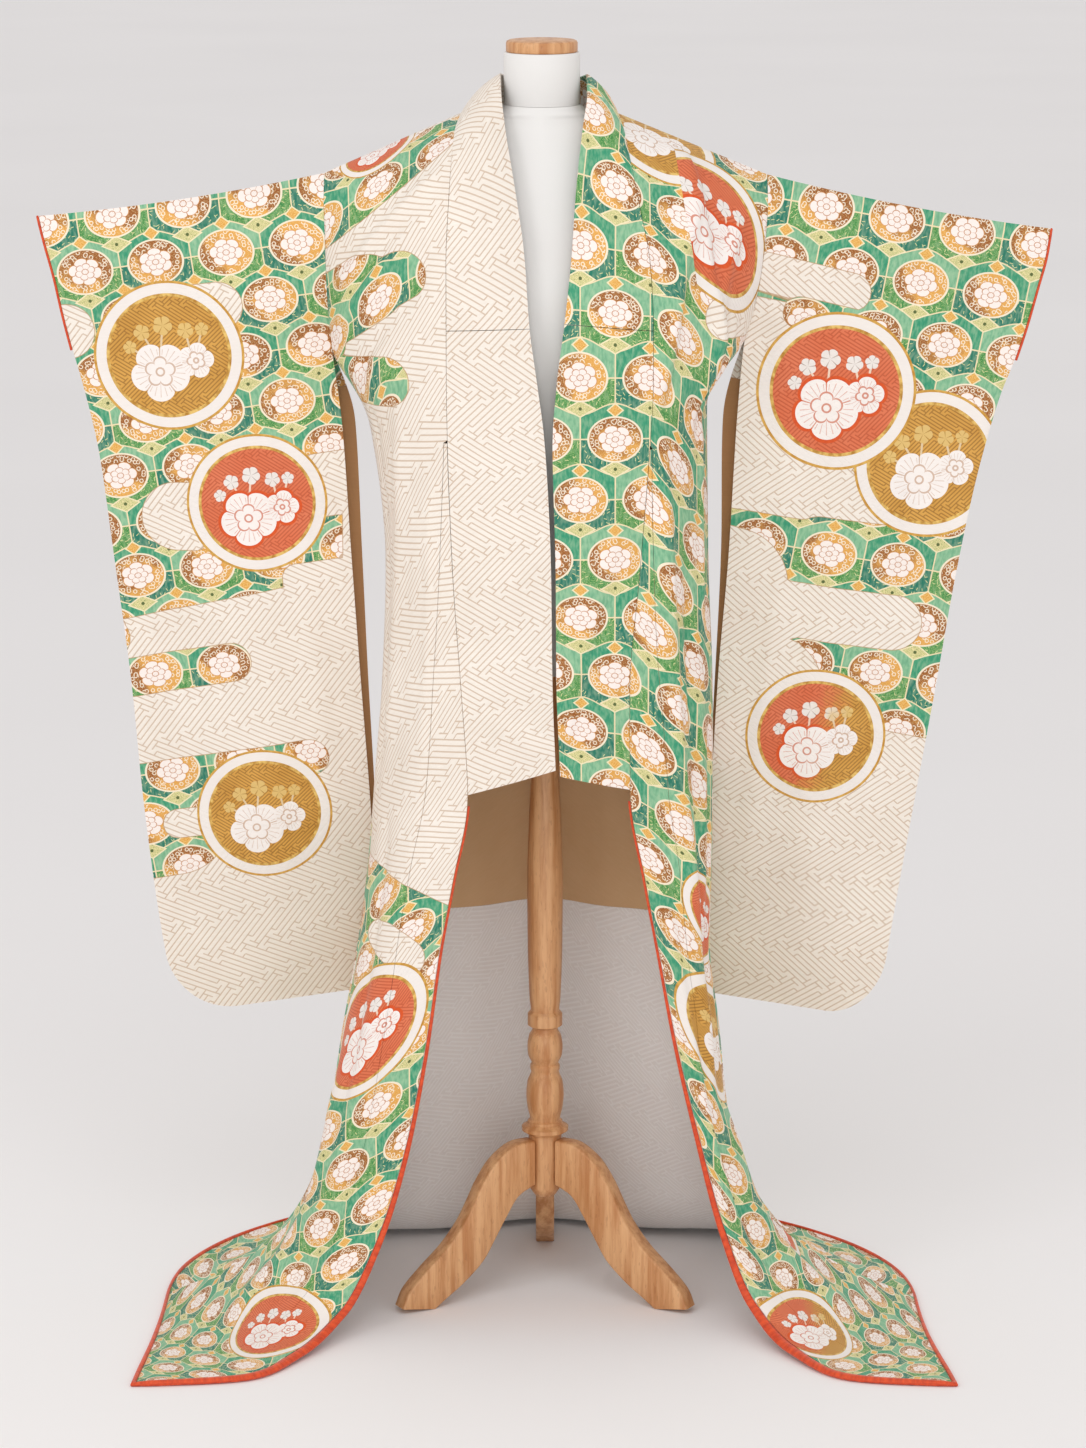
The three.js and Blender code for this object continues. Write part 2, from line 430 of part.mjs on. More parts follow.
for (const side of ["left", "right"]) {
  const face = -mirror[side], out = mirror[side];
  // Sleeve, one length folded at the top, its front and back seamed at the outer edge and along the bottom.
  const arm = [...ARM_ROWS.slice(1), 6.6, 7.2, 8, 9, 10, 10.8, 11.3, 11.6, 11.8, 11.92, 12];
  const sleeveRows = [...[...arm].reverse().map((r) => -r), 0, ...arm];
  const sleeveShares = [0, 0.12, 0.3, 0.5, 0.7, 0.8, 0.9, 0.96, 1];
  add(furisode, `sleeve_${side}`, sheet((w, u) => sleeve(side, w, u), sleeveRows, () => sleeveShares, CLOTH, { face, edgeNormal: (w, u) => (u === 0 && Math.abs(w) <= ARMPIT ? armNormal(side, w) : null) }), "ivory");
  // Facing of the back of the sleeve, seen at the open inner edge.
  const stripRows = [6.6, 7.2, 8, 9, 10, 10.8, 11.3];
  add(furisode, `sleeve_lining_${side}`, sheet((w, u) => sleeve(side, w, u), stripRows, () => [0, 0.12], LINING, { face, shift: -BACKING }), "brown");
  // Lining inside the skirt of the robe: one shell from the front edge round the side to the centre back.
  const shell = (r, c) => (c <= 1 ? body(side, -r, c) : body(side, r, 2 - c));
  const shellShares = (r) => {
    const ok = drapeRow(side, r).ok;
    return [...steps(0, ok, OKUMI_COLUMNS), ...steps(ok, 1, FRONT_COLUMNS).slice(1), ...steps(1, 2, BACK_COLUMNS).slice(1)];
  };
  const atCentre = (r, c) => c === 2;
  const options = { face: -face, out, shift: -BACKING, centre: atCentre, flip: true };
  add(furisode, `lining_upper_${side}`, sheet(shell, LOW_ROWS.filter((r) => r >= TAN_TOP && r <= TAN_END), shellShares, LINING, options), "tan");
  add(furisode, `lining_lower_${side}`, sheet(shell, LOW_ROWS.filter((r) => r >= TAN_END), shellShares, LINING, options), "white");
  // Padded roll of the lining along the front edge and the hem.
  const stations = [];
  const station = (r, c, away, corner = 1) => {
    const up = normalOf(shell, r, c).multiplyScalar(-face), low = Math.min(1, Math.max(0, (r - COLLAR_END) / (HEM - 2 - COLLAR_END))) ** 2;
    const p = shell(r, c), outward = p.clone().sub(away).addScaledVector(up, -p.clone().sub(away).dot(up)).normalize();
    const full = c > 0 || r === HEM ? ROLL_HEM : ROLL_FLOOR - (ROLL_FLOOR - ROLL_HEM) * Math.max(0, r - HEM + 1) ** 2;
    const width = ROLL_TOP + (full - ROLL_TOP) * low, height = Math.min(width, ROLL_TOP + (4 - ROLL_TOP) * low);
    const centre = p.clone().addScaledVector(outward, SEAM + width * corner).addScaledVector(up, -BACKING / 2 + 0.15);
    if (c === 2) { centre.x = out * SEAM / 2; outward.set(0, 1, 0); }
    const over = r > HEM - 1.6 ? vec(0, 0, 1) : up;
    centre.z = Math.max(centre.z, Math.hypot(outward.z * width * corner, over.z * height)); // rests on the floor
    stations.push({ centre, out: outward, up: over, width: width * corner, height });
  };
  const edgeRows = LOW_ROWS.filter((r) => r > COLLAR_END && r < HEM);
  station(COLLAR_END + 0.12, 0, shell(COLLAR_END + 0.12, 0.05));
  for (const r of edgeRows) station(r, 0, shell(r, 0.05));
  const hemShares = shellShares(HEM);
  station(HEM, 0, shell(HEM - 0.4, 0.12), 1.3);
  for (const c of hemShares.slice(1)) station(HEM, c, shell(HEM - 0.1, c));
  add(furisode, `hem_roll_${side}`, rod(stations), "orange");
  // Thin roll of the lining along the wrist opening.
  const cuff = [...steps(-WRIST, WRIST, 2 * WRIST)].map((w) => {
    const p = sleeve(side, w, 1), outward = p.clone().sub(sleeve(side, w, 0.97)).setY(0).normalize();
    return { centre: p.addScaledVector(outward, SEAM + CUFF_ROLL), out: outward, up: vec(0, w < 0 ? -1 : w > 0 ? 1 : 0, w === 0 ? 1 : 0), width: CUFF_ROLL, height: CUFF_ROLL };
  });
  add(furisode, `cuff_roll_${side}`, rod(cuff), "orange");
}

// ---- dress form ----
function loft(sections, around) {
  const points = [], index = [], n = sections.length;
  for (const [z, cx, cy, hw, hd, full] of sections)
    for (let k = 0; k < around; k++) {
      const angle = (2 * Math.PI * k) / around, c = Math.cos(angle), s = Math.sin(angle);
      const radius = (Math.abs(c / hw) ** full + Math.abs(s / hd) ** full) ** (-1 / full);
      points.push(vec(cx + radius * c, cy + radius * s, z));
    }
  for (let i = 0; i + 1 < n; i++)
    for (let k = 0; k < around; k++) {
      const a = i * around + k, b = i * around + ((k + 1) % around), c = b + around, d = a + around;
      index.push(a, b, c, a, c, d);
    }
  for (let k = 1; k + 1 < around; k++) {
    index.push(0, k + 1, k);
    const e = (n - 1) * around;
    index.push(e, e + k, e + k + 1);
  }
  return solid(points, index);
}
add(stand, "torso", loft(TORSO, 36), "form");
const drum = ({ x, radius, bottom, top }) => new THREE.CylinderGeometry(radius, radius, top - bottom, 36).rotateX(Math.PI / 2).translate(x, 0, (top + bottom) / 2);
add(stand, "neck", drum(NECK), "form");
add(stand, "cap", drum(CAP), "wood");
// ---- stand ----
const turned = (profile, around) => {
  const first = profile[0][1], last = profile[profile.length - 1][1];
  const points = [[0, first], ...profile, [0, last]].map(([r, z]) => new THREE.Vector2(r, z));
  return new THREE.LatheGeometry(points, around).rotateX(Math.PI / 2);
};
add(stand, "pole", turned(POLE, 20), "wood");
add(stand, "hub", turned(HUB, 24), "wood");
const smooth = (points, count) => new THREE.SplineCurve(points.map(([r, z]) => new THREE.Vector2(r, z))).getPoints(count);
const outline = new THREE.Shape([...smooth(LEG_UP.slice(0, -1), 14), new THREE.Vector2(...LEG_UP[LEG_UP.length - 1]), ...smooth(LEG_LOW, 12)]);
for (const [name, angle] of Object.entries(LEGS)) {
  const geometry = new THREE.ExtrudeGeometry(outline, { depth: LEG_WIDTH, bevelEnabled: false, steps: 1 }).rotateX(Math.PI / 2).translate(0, LEG_WIDTH / 2, 0);
  add(stand, name, geometry, "wood").rotation.z = (angle * Math.PI) / 180;
}
export default all;
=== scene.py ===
"""A furisode worn open by a limbless dress form: silk, linings, padded hem, form and turned stand.
The drape's tables are in millimetres, everything in Blender is in metres."""
import math

import bpy
import numpy as np
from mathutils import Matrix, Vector


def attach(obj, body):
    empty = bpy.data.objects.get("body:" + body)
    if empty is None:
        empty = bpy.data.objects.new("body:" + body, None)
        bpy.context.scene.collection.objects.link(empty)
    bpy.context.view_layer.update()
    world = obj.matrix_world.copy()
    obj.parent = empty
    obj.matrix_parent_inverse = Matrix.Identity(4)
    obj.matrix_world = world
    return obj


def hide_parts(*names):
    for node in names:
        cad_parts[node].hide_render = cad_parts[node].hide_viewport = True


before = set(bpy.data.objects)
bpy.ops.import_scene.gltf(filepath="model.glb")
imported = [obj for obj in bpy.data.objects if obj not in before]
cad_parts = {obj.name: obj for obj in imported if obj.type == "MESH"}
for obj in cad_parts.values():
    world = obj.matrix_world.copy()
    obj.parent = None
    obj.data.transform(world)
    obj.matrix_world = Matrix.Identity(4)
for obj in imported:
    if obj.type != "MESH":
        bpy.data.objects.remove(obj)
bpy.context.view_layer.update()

MM = 0.001
TURN = 6.2832  # a full circle in radians
ANY_TURN = 6.28  # what a random turn is a share of
CLOTH, LINING, COLLAR, SEAM = 1.6, 1.0, 3.0, 0.3
BACKING = CLOTH / 2 + SEAM + LINING / 2
ARMPIT, NECK_ROW, OKUMI_TIP, COLLAR_END, HEM, TAN_TOP, TAN_END, TOMOERI = 6, 3, 7, 10, 19, 8, 12, 5
WRIST, SLEEVE_END, SLEEVE_ROUND, SAG = 5, 12, 84, 6
CUFF_ROLL, ROLL_TOP, ROLL_FLOOR, ROLL_HEM = 1.6, 1.5, 7, 3
OUT = {"left": -1, "right": 1}
SILK_SLOT = {"left": "silk_ivory", "right": "silk_green"}
STEP = 7.0  # grain of the cloth meshes
PANEL_ACROSS, OKUMI_ACROSS, COLLAR_ACROSS, SLEEVE_ACROSS = 300, 110, 130, 380  # widths that set their columns
ROLL_STEP, HEM_STATIONS, CUFF_STATIONS = 0.12, 90, 61

# ---- the drape ----
DRAPE_COLUMNS = "fx fy fz sx sy sz open bx by bz rf rb ok".split()
DRAPE = {
    "left": [
        (105, 0, 1569, 281, 0, 1492, 0, 105, 0, 1569, 0, 0, 0.02),
        (113, -48, 1551, 281, 0, 1479, 16, 92, 42, 1561, 0.1, 0.1, 0.02),
        (117, -88, 1519, 281, 0, 1458, 27, 48, 82, 1550, 0.2, 0.2, 0.02),
        (121, -118, 1463, 280, 0, 1422, 33, 0, 100, 1527, 0.3, 0.2, 0.02),
        (124, -134, 1390, 279, 0, 1373, 32, 0, 116, 1440, 0.35, 0.3, 0.02),
        (124, -140, 1310, 277, 0, 1322, 25, 0, 124, 1350, 0.45, 0.4, 0.02),
        (124, -142, 1245, 273, 0, 1270, 12, 0, 126, 1265, 0.6, 0.6, 0.02),
        (123, -142, 1168, 226, 0, 1172, 0, 0, 124, 1170, 0.85, 0.9, 0.03),
        (117, -140, 1000, 206, 0, 995, 0, 0, 122, 1000, 1, 1, 0.12),
        (107, -140, 850, 211, -8, 835, 0, 0, 130, 840, 1, 1, 0.22),
        (99, -140, 711, 220, -20, 720, 0, 0, 142, 700, 1, 0.9, 0.28),
        (118, -142, 600, 229, -30, 602, 0, 0, 156, 590, 1, 0.75, 0.32),
        (136, -144, 505, 243, -38, 490, 0, 0, 169, 492, 1, 0.6, 0.33),
        (156, -146, 371, 264, -40, 372, 0, 0, 192, 350, 1, 0.45, 0.33),
        (184, -152, 232, 283, -40, 255, 0, 0, 204, 230, 1, 0.35, 0.33),
        (222, -172, 115, 311, -32, 150, 0, 0, 216, 120, 1, 0.3, 0.33),
        (268, -208, 36, 356, -15, 76, 0, 0, 226, 40, 1, 0.3, 0.33),
        (320, -280, 10, 412, 0, 30, 0, 0, 252, 8, 0.8, 0.35, 0.33),
        (380, -352, 3.6, 462, -10, 8, 0, 0, 318, 3.2, 0.45, 0.65, 0.33),
        (518, -380, 2.4, 501, -40, 2.4, 0, 0, 380, 2.4, 0.1, 1, 0.33),
    ],
    "right": [
        (92, 0, 1568, 283, 0, 1490, 0, 92, 0, 1568, 0, 0, 0.02),
        (99, -48, 1550, 283, 0, 1477, 16, 84, 42, 1559, 0.1, 0.1, 0.02),
        (107, -88, 1517, 283, 0, 1456, 27, 44, 82, 1549, 0.2, 0.2, 0.02),
        (119, -118, 1461, 281, 0, 1419, 33, 0, 100, 1527, 0.3, 0.2, 0.02),
        (132, -134, 1390, 276, 0, 1373, 32, 0, 116, 1440, 0.35, 0.3, 0.02),
        (136, -140, 1310, 268, 0, 1326, 25, 0, 124, 1350, 0.45, 0.4, 0.02),
        (136, -142, 1240, 256, 0, 1282, 12, 0, 126, 1265, 0.6, 0.6, 0.02),
        (132, -142, 1160, 208, 0, 1195, 0, 0, 124, 1170, 0.85, 0.9, 0.03),
        (120, -140, 1000, 211, 0, 1000, 0, 0, 122, 1000, 1, 1, 0.12),
        (108, -140, 850, 217, -8, 835, 0, 0, 130, 840, 1, 1, 0.22),
        (109, -140, 718, 218, -20, 720, 0, 0, 142, 700, 1, 0.9, 0.28),
        (129, -142, 599, 217, -30, 602, 0, 0, 156, 590, 1, 0.75, 0.32),
        (148, -144, 500, 214, -38, 490, 0, 0, 169, 492, 1, 0.6, 0.33),
        (171, -146, 380, 227, -40, 372, 0, 0, 192, 350, 1, 0.45, 0.33),
        (201, -150, 255, 240, -40, 255, 0, 0, 204, 230, 1, 0.35, 0.33),
        (236, -166, 130, 272, -30, 150, 0, 0, 216, 120, 1, 0.3, 0.33),
        (273, -200, 48, 320, -15, 80, 0, 0, 226, 40, 1, 0.3, 0.33),
        (320, -270, 13, 384, 0, 34, 0, 0, 252, 8, 0.8, 0.35, 0.33),
        (388, -352, 3.6, 446, -15, 8, 0, 0, 318, 3.2, 0.45, 0.6, 0.33),
        (516, -380, 2.4, 491, -60, 2.4, 0, 0, 380, 2.4, 0.1, 0.7, 0.33),
    ],
}
COLLAR_COLUMNS = "ex ey ez roll".split()
COLLAR_EDGE = {
    "left": [
        (0, 84, 1590, 3), (30, 74, 1602, 3), (50, 44, 1612, 4), (56, 8, 1617, 5), (55, -30, 1598, 6),
        (50, -64, 1556, 7), (38, -100, 1486, 7), (26, -124, 1405, 6), (19, -138, 1312, 5), (9, -146, 1240, 4),
        (0, -149, 1168, 4), (-8, -151, 1010, 4), (-10, -151, 860, 4), (-14, -151, 746, 4),
    ],
    "right": [
        (0, 84, 1590, 3), (29, 74, 1602, 3), (49, 44, 1612, 4), (53, 8, 1616, 5), (53, -30, 1596, 6),
        (47, -64, 1552, 7), (39, -100, 1482, 7), (33, -124, 1400, 6), (24, -138, 1318, 5),
        (14, -146, 1240, 4), (9, -149, 1160, 4), (13, -151, 1000, 4), (14, -151, 860, 4), (19, -151, 738, 4),
    ],
}
SLEEVE_COLUMNS = "ix iy iz ox oy oz gi gm go strip".split()
SLEEVE = {
    "left": [
        (281, 0, 1492, 646, 0, 1437, 0, 0, 0, 0), (281, 0, 1479, 643, 0, 1425, 16, 10, 4, 0),
        (281, 0, 1458, 637, 0, 1400, 27, 14, 5, 0), (280, 0, 1422, 627, 0, 1361, 33, 16, 5, 0),
        (279, 0, 1373, 617, 0, 1313, 32, 16, 5, 0), (277, 0, 1322, 606, 0, 1266, 25, 16, 4, 0),
        (273, 0, 1270, 594, 0, 1220, 12, 15, 1, 0), (261, 2, 1172, 576, 2, 1135, 13, 14, 1, 16),
        (251, 10, 1000, 559, 8, 990, 13, 14, 1, 13), (241, 26, 830, 541, 16, 825, 12, 13, 1, 9),
        (232, 50, 680, 530, 26, 672, 11, 12, 1, 6), (225, 80, 535, 514, 38, 515, 10, 10, 1, 3),
        (218, 112, 386, 492, 50, 363, 1, 1, 1, 0),
    ],
    "right": [
        (283, 0, 1490, 645, 0, 1421, 0, 0, 0, 0), (283, 0, 1477, 643, 0, 1409, 16, 10, 4, 0),
        (283, 0, 1456, 639, 0, 1384, 27, 14, 5, 0), (281, 0, 1419, 629, 0, 1345, 33, 16, 5, 0),
        (276, 0, 1373, 617, 0, 1299, 32, 16, 5, 0), (268, 0, 1326, 603, 0, 1253, 25, 16, 4, 0),
        (256, 0, 1282, 586, 0, 1207, 12, 15, 1, 0), (247, 2, 1180, 558, 2, 1100, 13, 14, 1, 17),
        (238, 10, 1000, 533, 8, 965, 13, 14, 1, 9), (226, 26, 830, 510, 16, 812, 12, 13, 1, 3),
        (220, 50, 680, 487, 26, 664, 11, 12, 1, 2), (217, 80, 535, 464, 38, 510, 10, 10, 1, 2),
        (214, 112, 377, 443, 50, 357, 1, 1, 1, 0),
    ],
}
# side, face, [(row, share), ...], half width inward, half width outward, height in mm
FOLDS = [
    ("left", "front", [(2.0, 0.02), (4.6, 0.92)], 16, 12, 7),
    ("left", "front", [(2.9, 0.12), (5.6, 0.94)], 12, 14, 6),
    ("left", "front", [(3.4, 0.02), (6.8, 0.75)], 12, 12, -5),
    ("left", "front", [(6.2, 0.3), (8.2, 0.6), (10, 0.7)], 18, 14, 5),
    ("left", "front", [(8.4, 0.35), (12, 0.42), (16, 0.6)], 22, 26, 6),
    ("left", "front", [(13, 0.75), (15.5, 0.72), (17.6, 0.62)], 34, 30, 13),
    ("right", "front", [(2.2, 0.42), (4.5, 0.2), (6.5, 0.06)], 20, 10, 11),
    ("right", "front", [(2.4, 0.78), (4.5, 0.55), (7.5, 0.5)], 14, 12, 7),
    ("right", "front", [(0.6, 0.40), (2, 0.42), (4, 0.45), (5.3, 0.55), (6.5, 0.62)], 24, 5, 8),
    ("right", "front", [(6.6, 0.1), (7.6, 0.22), (8.7, 0.32), (10.2, 0.42), (11.3, 0.47), (14, 0.5)],
     22, 9, 12),
    ("right", "front", [(7.4, 0.4), (8.7, 0.52), (11.3, 0.68), (14, 0.72)], 10, 12, -9),
    ("right", "front", [(13.6, 0.78), (15.6, 0.74), (17.6, 0.64)], 34, 30, 13),
    ("right", "collar", [(7.6, 0.72), (8.3, 0.48), (9, 0.24), (9.8, 0.05)], 10, 26, 6),
    ("left", "collar", [(9.2, 0.75), (9.85, 0.1)], 14, 14, 2.5),
]
FLUTE_COUNT = 2
FLUTE_ROWS, FLUTE_HEIGHTS = (7, 10, 13, 15.5, 17.5, 19), (1, 4, 9, 9, 3, 0.6)


def curve(values, at):
    """Monotone cubic through equally spaced values."""
    v = np.asarray(values, float)
    n = len(v) - 1
    x = np.clip(at, 0, n)
    i = np.minimum(x.astype(int), n - 1)
    t = x - i
    d = np.diff(v)
    a, b = d[:-1], d[1:]
    total = np.where(np.abs(a + b) < 1e-12, 1.0, a + b)
    s = np.concatenate([d[:1], np.where(a * b <= 0, 0.0, 2 * a * b / total), d[-1:]])
    return ((1 + 2 * t) * (1 - t) ** 2 * v[i] + t * (1 - t) ** 2 * s[i]
            + t * t * (3 - 2 * t) * v[i + 1] + t * t * (t - 1) * s[i + 1])


def row_reader(tables, names):
    sides = {s: {n: [r[k] for r in t] for k, n in enumerate(names)} for s, t in tables.items()}
    return lambda side, at: {n: curve(sides[side][n], at) for n in names}


drape_row = row_reader(DRAPE, DRAPE_COLUMNS)
collar_row = row_reader(COLLAR_EDGE, COLLAR_COLUMNS)
sleeve_row = row_reader(SLEEVE, SLEEVE_COLUMNS)


def vec(x, y, z):
    return np.stack(np.broadcast_arrays(x, y, z), -1).astype(float)


def unit(v):
    return v / np.maximum(np.linalg.norm(v, axis=-1, keepdims=True), 1e-9)


def normal_of(surface, w, a, dw=0.02, da=0.01):
    return unit(np.cross(surface(w + dw, a) - surface(w - dw, a), surface(w, a + da) - surface(w, a - da)))


def fold_height(side, face, r, a, width, folds=FOLDS):
    h = np.zeros(np.broadcast(r, a).shape)
    for fold_side, fold_face, path, wi, wo, height in folds:
        if (fold_side, fold_face) != (side, face):
            continue
        rows = [p[0] for p in path]
        s = (r - rows[0]) / (rows[-1] - rows[0])
        fade = np.clip(np.minimum(5 * s, 5 * (1 - s)), 0, 1)
        d = (a - np.interp(r, rows, [p[1] for p in path])) * width
        h = h + height * fade * fade * (3 - 2 * fade) * np.exp(-((d / np.where(d < 0, wi, wo)) ** 2))
    return h


def body_base(side, w, a):
    w, a = np.broadcast_arrays(np.asarray(w, float), np.asarray(a, float))
    over = (a > 1) & (np.abs(w) >= OKUMI_TIP)
    w, a = np.where(over, -w, w), np.where(over, 2 - a, a)
    front, row = w < 0, drape_row(side, np.abs(w))
    pick = lambda f, b: np.where(front, row[f], row[b])
    inner = vec(pick("fx", "bx"), pick("fy", "by"), pick("fz", "bz"))
    outer = vec(row["sx"], row["sy"] + np.where(front, -row["open"], row["open"]), row["sz"])
    rounding, k = pick("rf", "rb"), 0.552
    p1, p2 = inner + (outer - inner) / 3, inner + (outer - inner) * 2 / 3
    p1[..., 0] += (inner[..., 0] + k * (outer[..., 0] - inner[..., 0]) - p1[..., 0]) * rounding
    p1[..., 1] += (inner[..., 1] - p1[..., 1]) * rounding
    turn = np.maximum(rounding, np.clip((np.abs(w) - ARMPIT) / 1.2, 0, 1))
    p2[..., 0] += (outer[..., 0] - p2[..., 0]) * turn
    p2[..., 1] += (outer[..., 1] + k * (inner[..., 1] - outer[..., 1]) - p2[..., 1]) * turn
    a = a[..., None]
    b = 1 - a
    p = b**3 * inner + 3 * b * b * a * p1 + 3 * b * a * a * p2 + a**3 * outer
    return p * (OUT[side], 1, 1)


def body(side, w, a):
    """w < 0 front, > 0 back; a from the inner line (0) to the side (1), and on round the back (2)."""
    w, a = np.broadcast_arrays(np.asarray(w, float), np.asarray(a, float))
    over = (a > 1) & (np.abs(w) >= OKUMI_TIP)
    w, a = np.where(over, -w, w), np.where(over, 2 - a, a)
    r, base = np.abs(w), lambda u, v: body_base(side, u, v)
    p = base(w, a)
    width = np.linalg.norm(base(w, 1.0) - base(w, 0.0), axis=-1) * 1.12
    near = np.clip((1 - a) / 0.14, 0, 1) * np.where(r < COLLAR_END + 0.5, np.clip(a / 0.06, 0, 1), 1)
    near = near * near * (3 - 2 * near)
    front = (
        fold_height(side, "front", r, a, width) + fold_height(side, "front", r, a, width, CREASES)
    ) * near
    flute = np.interp(r, FLUTE_ROWS, FLUTE_HEIGHTS) * np.clip((r - FLUTE_ROWS[0]) / 2, 0, 1)
    taper = np.sqrt(np.maximum(0, np.sin(np.pi * np.clip(a, 0, 1))))
    back = flute * taper * np.cos(2 * np.pi * FLUTE_COUNT * a)
    back = back + fold_height(side, "back", r, a, width, CREASES) * near
    h = np.where(w < 0, front, back)
    q = p - normal_of(base, w, a) * h[..., None] * OUT[side]
    q[..., 2] = np.maximum(q[..., 2], np.minimum(p[..., 2], 2.4))
    return q


def arm_normal(side, w):
    t = body_base(side, w + 0.02, 1.0) - body_base(side, w - 0.02, 1.0)
    return unit(vec(0, -t[..., 2], t[..., 1]))


def collar_base(side, w, a):
    w, a = np.broadcast_arrays(np.asarray(w, float), np.asarray(a, float))
    row, edge = drape_row(side, np.abs(w)), collar_row(side, w + 3)
    pick = lambda f, b: np.where(w < 0, row[b], row[f])
    seam = vec(pick("fx", "bx"), pick("fy", "by"), pick("fz", "bz"))
    free = vec(edge["ex"], edge["ey"], edge["ez"])
    return (seam + (free - seam) * a[..., None]) * (OUT[side], 1, 1)


def collar(side, w, a):
    """w from the centre back (-3) to the end (10); a from the seam (0) to the free edge (1)."""
    w, a = np.broadcast_arrays(np.asarray(w, float), np.asarray(a, float))
    c = np.clip(a, 0, 1)
    folds = fold_height(side, "collar", w, 1 - a, -110) + fold_height(side, "collar", w, 1 - a, -110, CREASES)
    h = collar_row(side, w + 3)["roll"] * 4 * c * (1 - c) + folds * np.minimum(1, 6 * c)
    n = normal_of(lambda u, v: collar_base(side, u, v), w, np.clip(a, 0.02, 0.98))
    return collar_base(side, w, a) - n * h[..., None] * OUT[side]


def sleeve(side, w, u):
    """w < 0 front, 0 top fold, > 0 back; u from the inner edge (0) to the outer edge (1)."""
    w, u = np.broadcast_arrays(np.asarray(w, float), np.asarray(u, float))
    front, r = w < 0, np.abs(w)
    big_u, big_r = 1 - SLEEVE_ROUND / 285, SLEEVE_END - SLEEVE_ROUND / 146
    a = np.clip((u - big_u) / (1 - big_u), 0, 1)
    b = np.clip((r - big_r) / (SLEEVE_END - big_r), 0, 1)
    corner = (u > big_u) & (r > big_r)
    uu = np.where(corner, big_u + (1 - big_u) * a * np.sqrt(1 - b * b / 2), u)
    rr = np.where(corner, big_r + (SLEEVE_END - big_r) * b * np.sqrt(1 - a * a / 2), r)
    row, own = sleeve_row(side, rr), sleeve_row(side, r)
    inner = vec(row["ix"] - np.where(front, 0, own["strip"]), row["iy"], row["iz"])
    outer = vec(row["ox"], row["oy"], row["oz"])
    p = inner + (outer - inner) * uu[..., None]
    gi, gm, go = own["gi"], own["gm"], own["go"]
    taper = np.sqrt(np.maximum(0, 1 - np.maximum(0, (u - 0.9) / 0.1) ** 2))
    mid = np.where(u < 0.5, gi + (gm - gi) * u / 0.5, gm + (go - gm) * (u - 0.5) / 0.5)
    g = np.where(u > 0.9, go + (gm + (go - gm) * 0.8 - go) * taper, mid)
    close = np.sqrt(np.maximum(0, 1 - np.maximum(0, (r - (SLEEVE_END - 0.35)) / 0.35) ** 2))
    g = np.maximum(g * close, (CLOTH + SEAM) / 2 * np.minimum(1, r * 3))
    # soft troughs hang through the flat of the sleeve, front and back alike, so the bag stays open
    wave = fold_height(side, "sleeve", r, u, 320.0, CREASES) * np.clip(r / 0.8, 0, 1)
    edges = np.clip(u / 0.1, 0, 1) * np.clip((1 - u) / 0.08, 0, 1) * np.clip((SLEEVE_END - r) / 0.5, 0, 1)
    p[..., 1] += np.where(front, -g, g) - wave * edges
    p[..., 2] -= SAG * 4 * uu * (1 - uu) * np.maximum(0, 1 - r / 9)
    return p * (OUT[side], 1, 1)


# Finer creases than the folds above, given in the same terms.
CREASES = [
    ("left", "front", [(3.2, 0.5), (5.2, 0.86)], 7, 9, 3),
    ("left", "front", [(4.4, 0.25), (6.6, 0.62)], 9, 7, 3),
    ("left", "front", [(6.4, 0.7), (8.6, 0.82), (10.5, 0.84)], 8, 10, -3.5),
    ("left", "front", [(7.0, 0.15), (9.4, 0.3), (12.6, 0.36)], 9, 9, 3),
    ("left", "front", [(10, 0.62), (13.2, 0.6), (15.2, 0.66)], 9, 12, -4),
    ("left", "front", [(12, 0.2), (14.6, 0.28), (16.6, 0.4)], 12, 14, 4),
    ("right", "front", [(3.2, 0.34), (5.6, 0.16), (6.8, 0.12)], 7, 6, -5),
    ("right", "front", [(4.8, 0.72), (6.8, 0.66), (8.8, 0.7)], 8, 8, 4),
    ("right", "front", [(9, 0.8), (11.4, 0.84), (13.6, 0.84)], 8, 8, -4),
    ("right", "front", [(10.8, 0.15), (13, 0.24), (15.4, 0.34)], 10, 8, 4),
    ("right", "front", [(12.4, 0.3), (14.6, 0.4), (16.4, 0.5)], 8, 14, -4),
    ("left", "back", [(2.5, 0.5), (6.5, 0.45), (10, 0.5)], 30, 30, 3),
    ("left", "back", [(3.5, 0.85), (6.5, 0.78), (9, 0.8)], 14, 14, 3),
    ("right", "back", [(2.5, 0.4), (6.5, 0.5), (10, 0.46)], 30, 30, 3),
    ("right", "back", [(3.5, 0.8), (6.5, 0.82), (9, 0.78)], 14, 14, 3),
    ("left", "collar", [(6.2, 0.35), (8.0, 0.5), (9.4, 0.3)], 22, 22, 1.6),
    ("left", "collar", [(8.3, 0.9), (9.6, 0.45)], 9, 9, -1.4),
    ("right", "collar", [(5.4, 0.9), (6.6, 0.7), (7.6, 0.6)], 12, 16, 1.6),
    ("left", "sleeve", [(1.5, 0.2), (4, 0.34), (8, 0.4), (11.6, 0.44)], 26, 34, 4),
    ("left", "sleeve", [(3, 0.72), (6, 0.78), (11, 0.82)], 20, 26, -3.5),
    ("left", "sleeve", [(5.5, 0.1), (8, 0.2), (11, 0.16)], 14, 20, 3),
    ("right", "sleeve", [(1.2, 0.16), (4, 0.36), (8, 0.46), (11.6, 0.5)], 30, 34, 4),
    ("right", "sleeve", [(3, 0.8), (6, 0.76), (11, 0.8)], 20, 26, -3.5),
    ("right", "sleeve", [(5, 0.12), (8, 0.24), (11, 0.18)], 14, 22, 3),
]


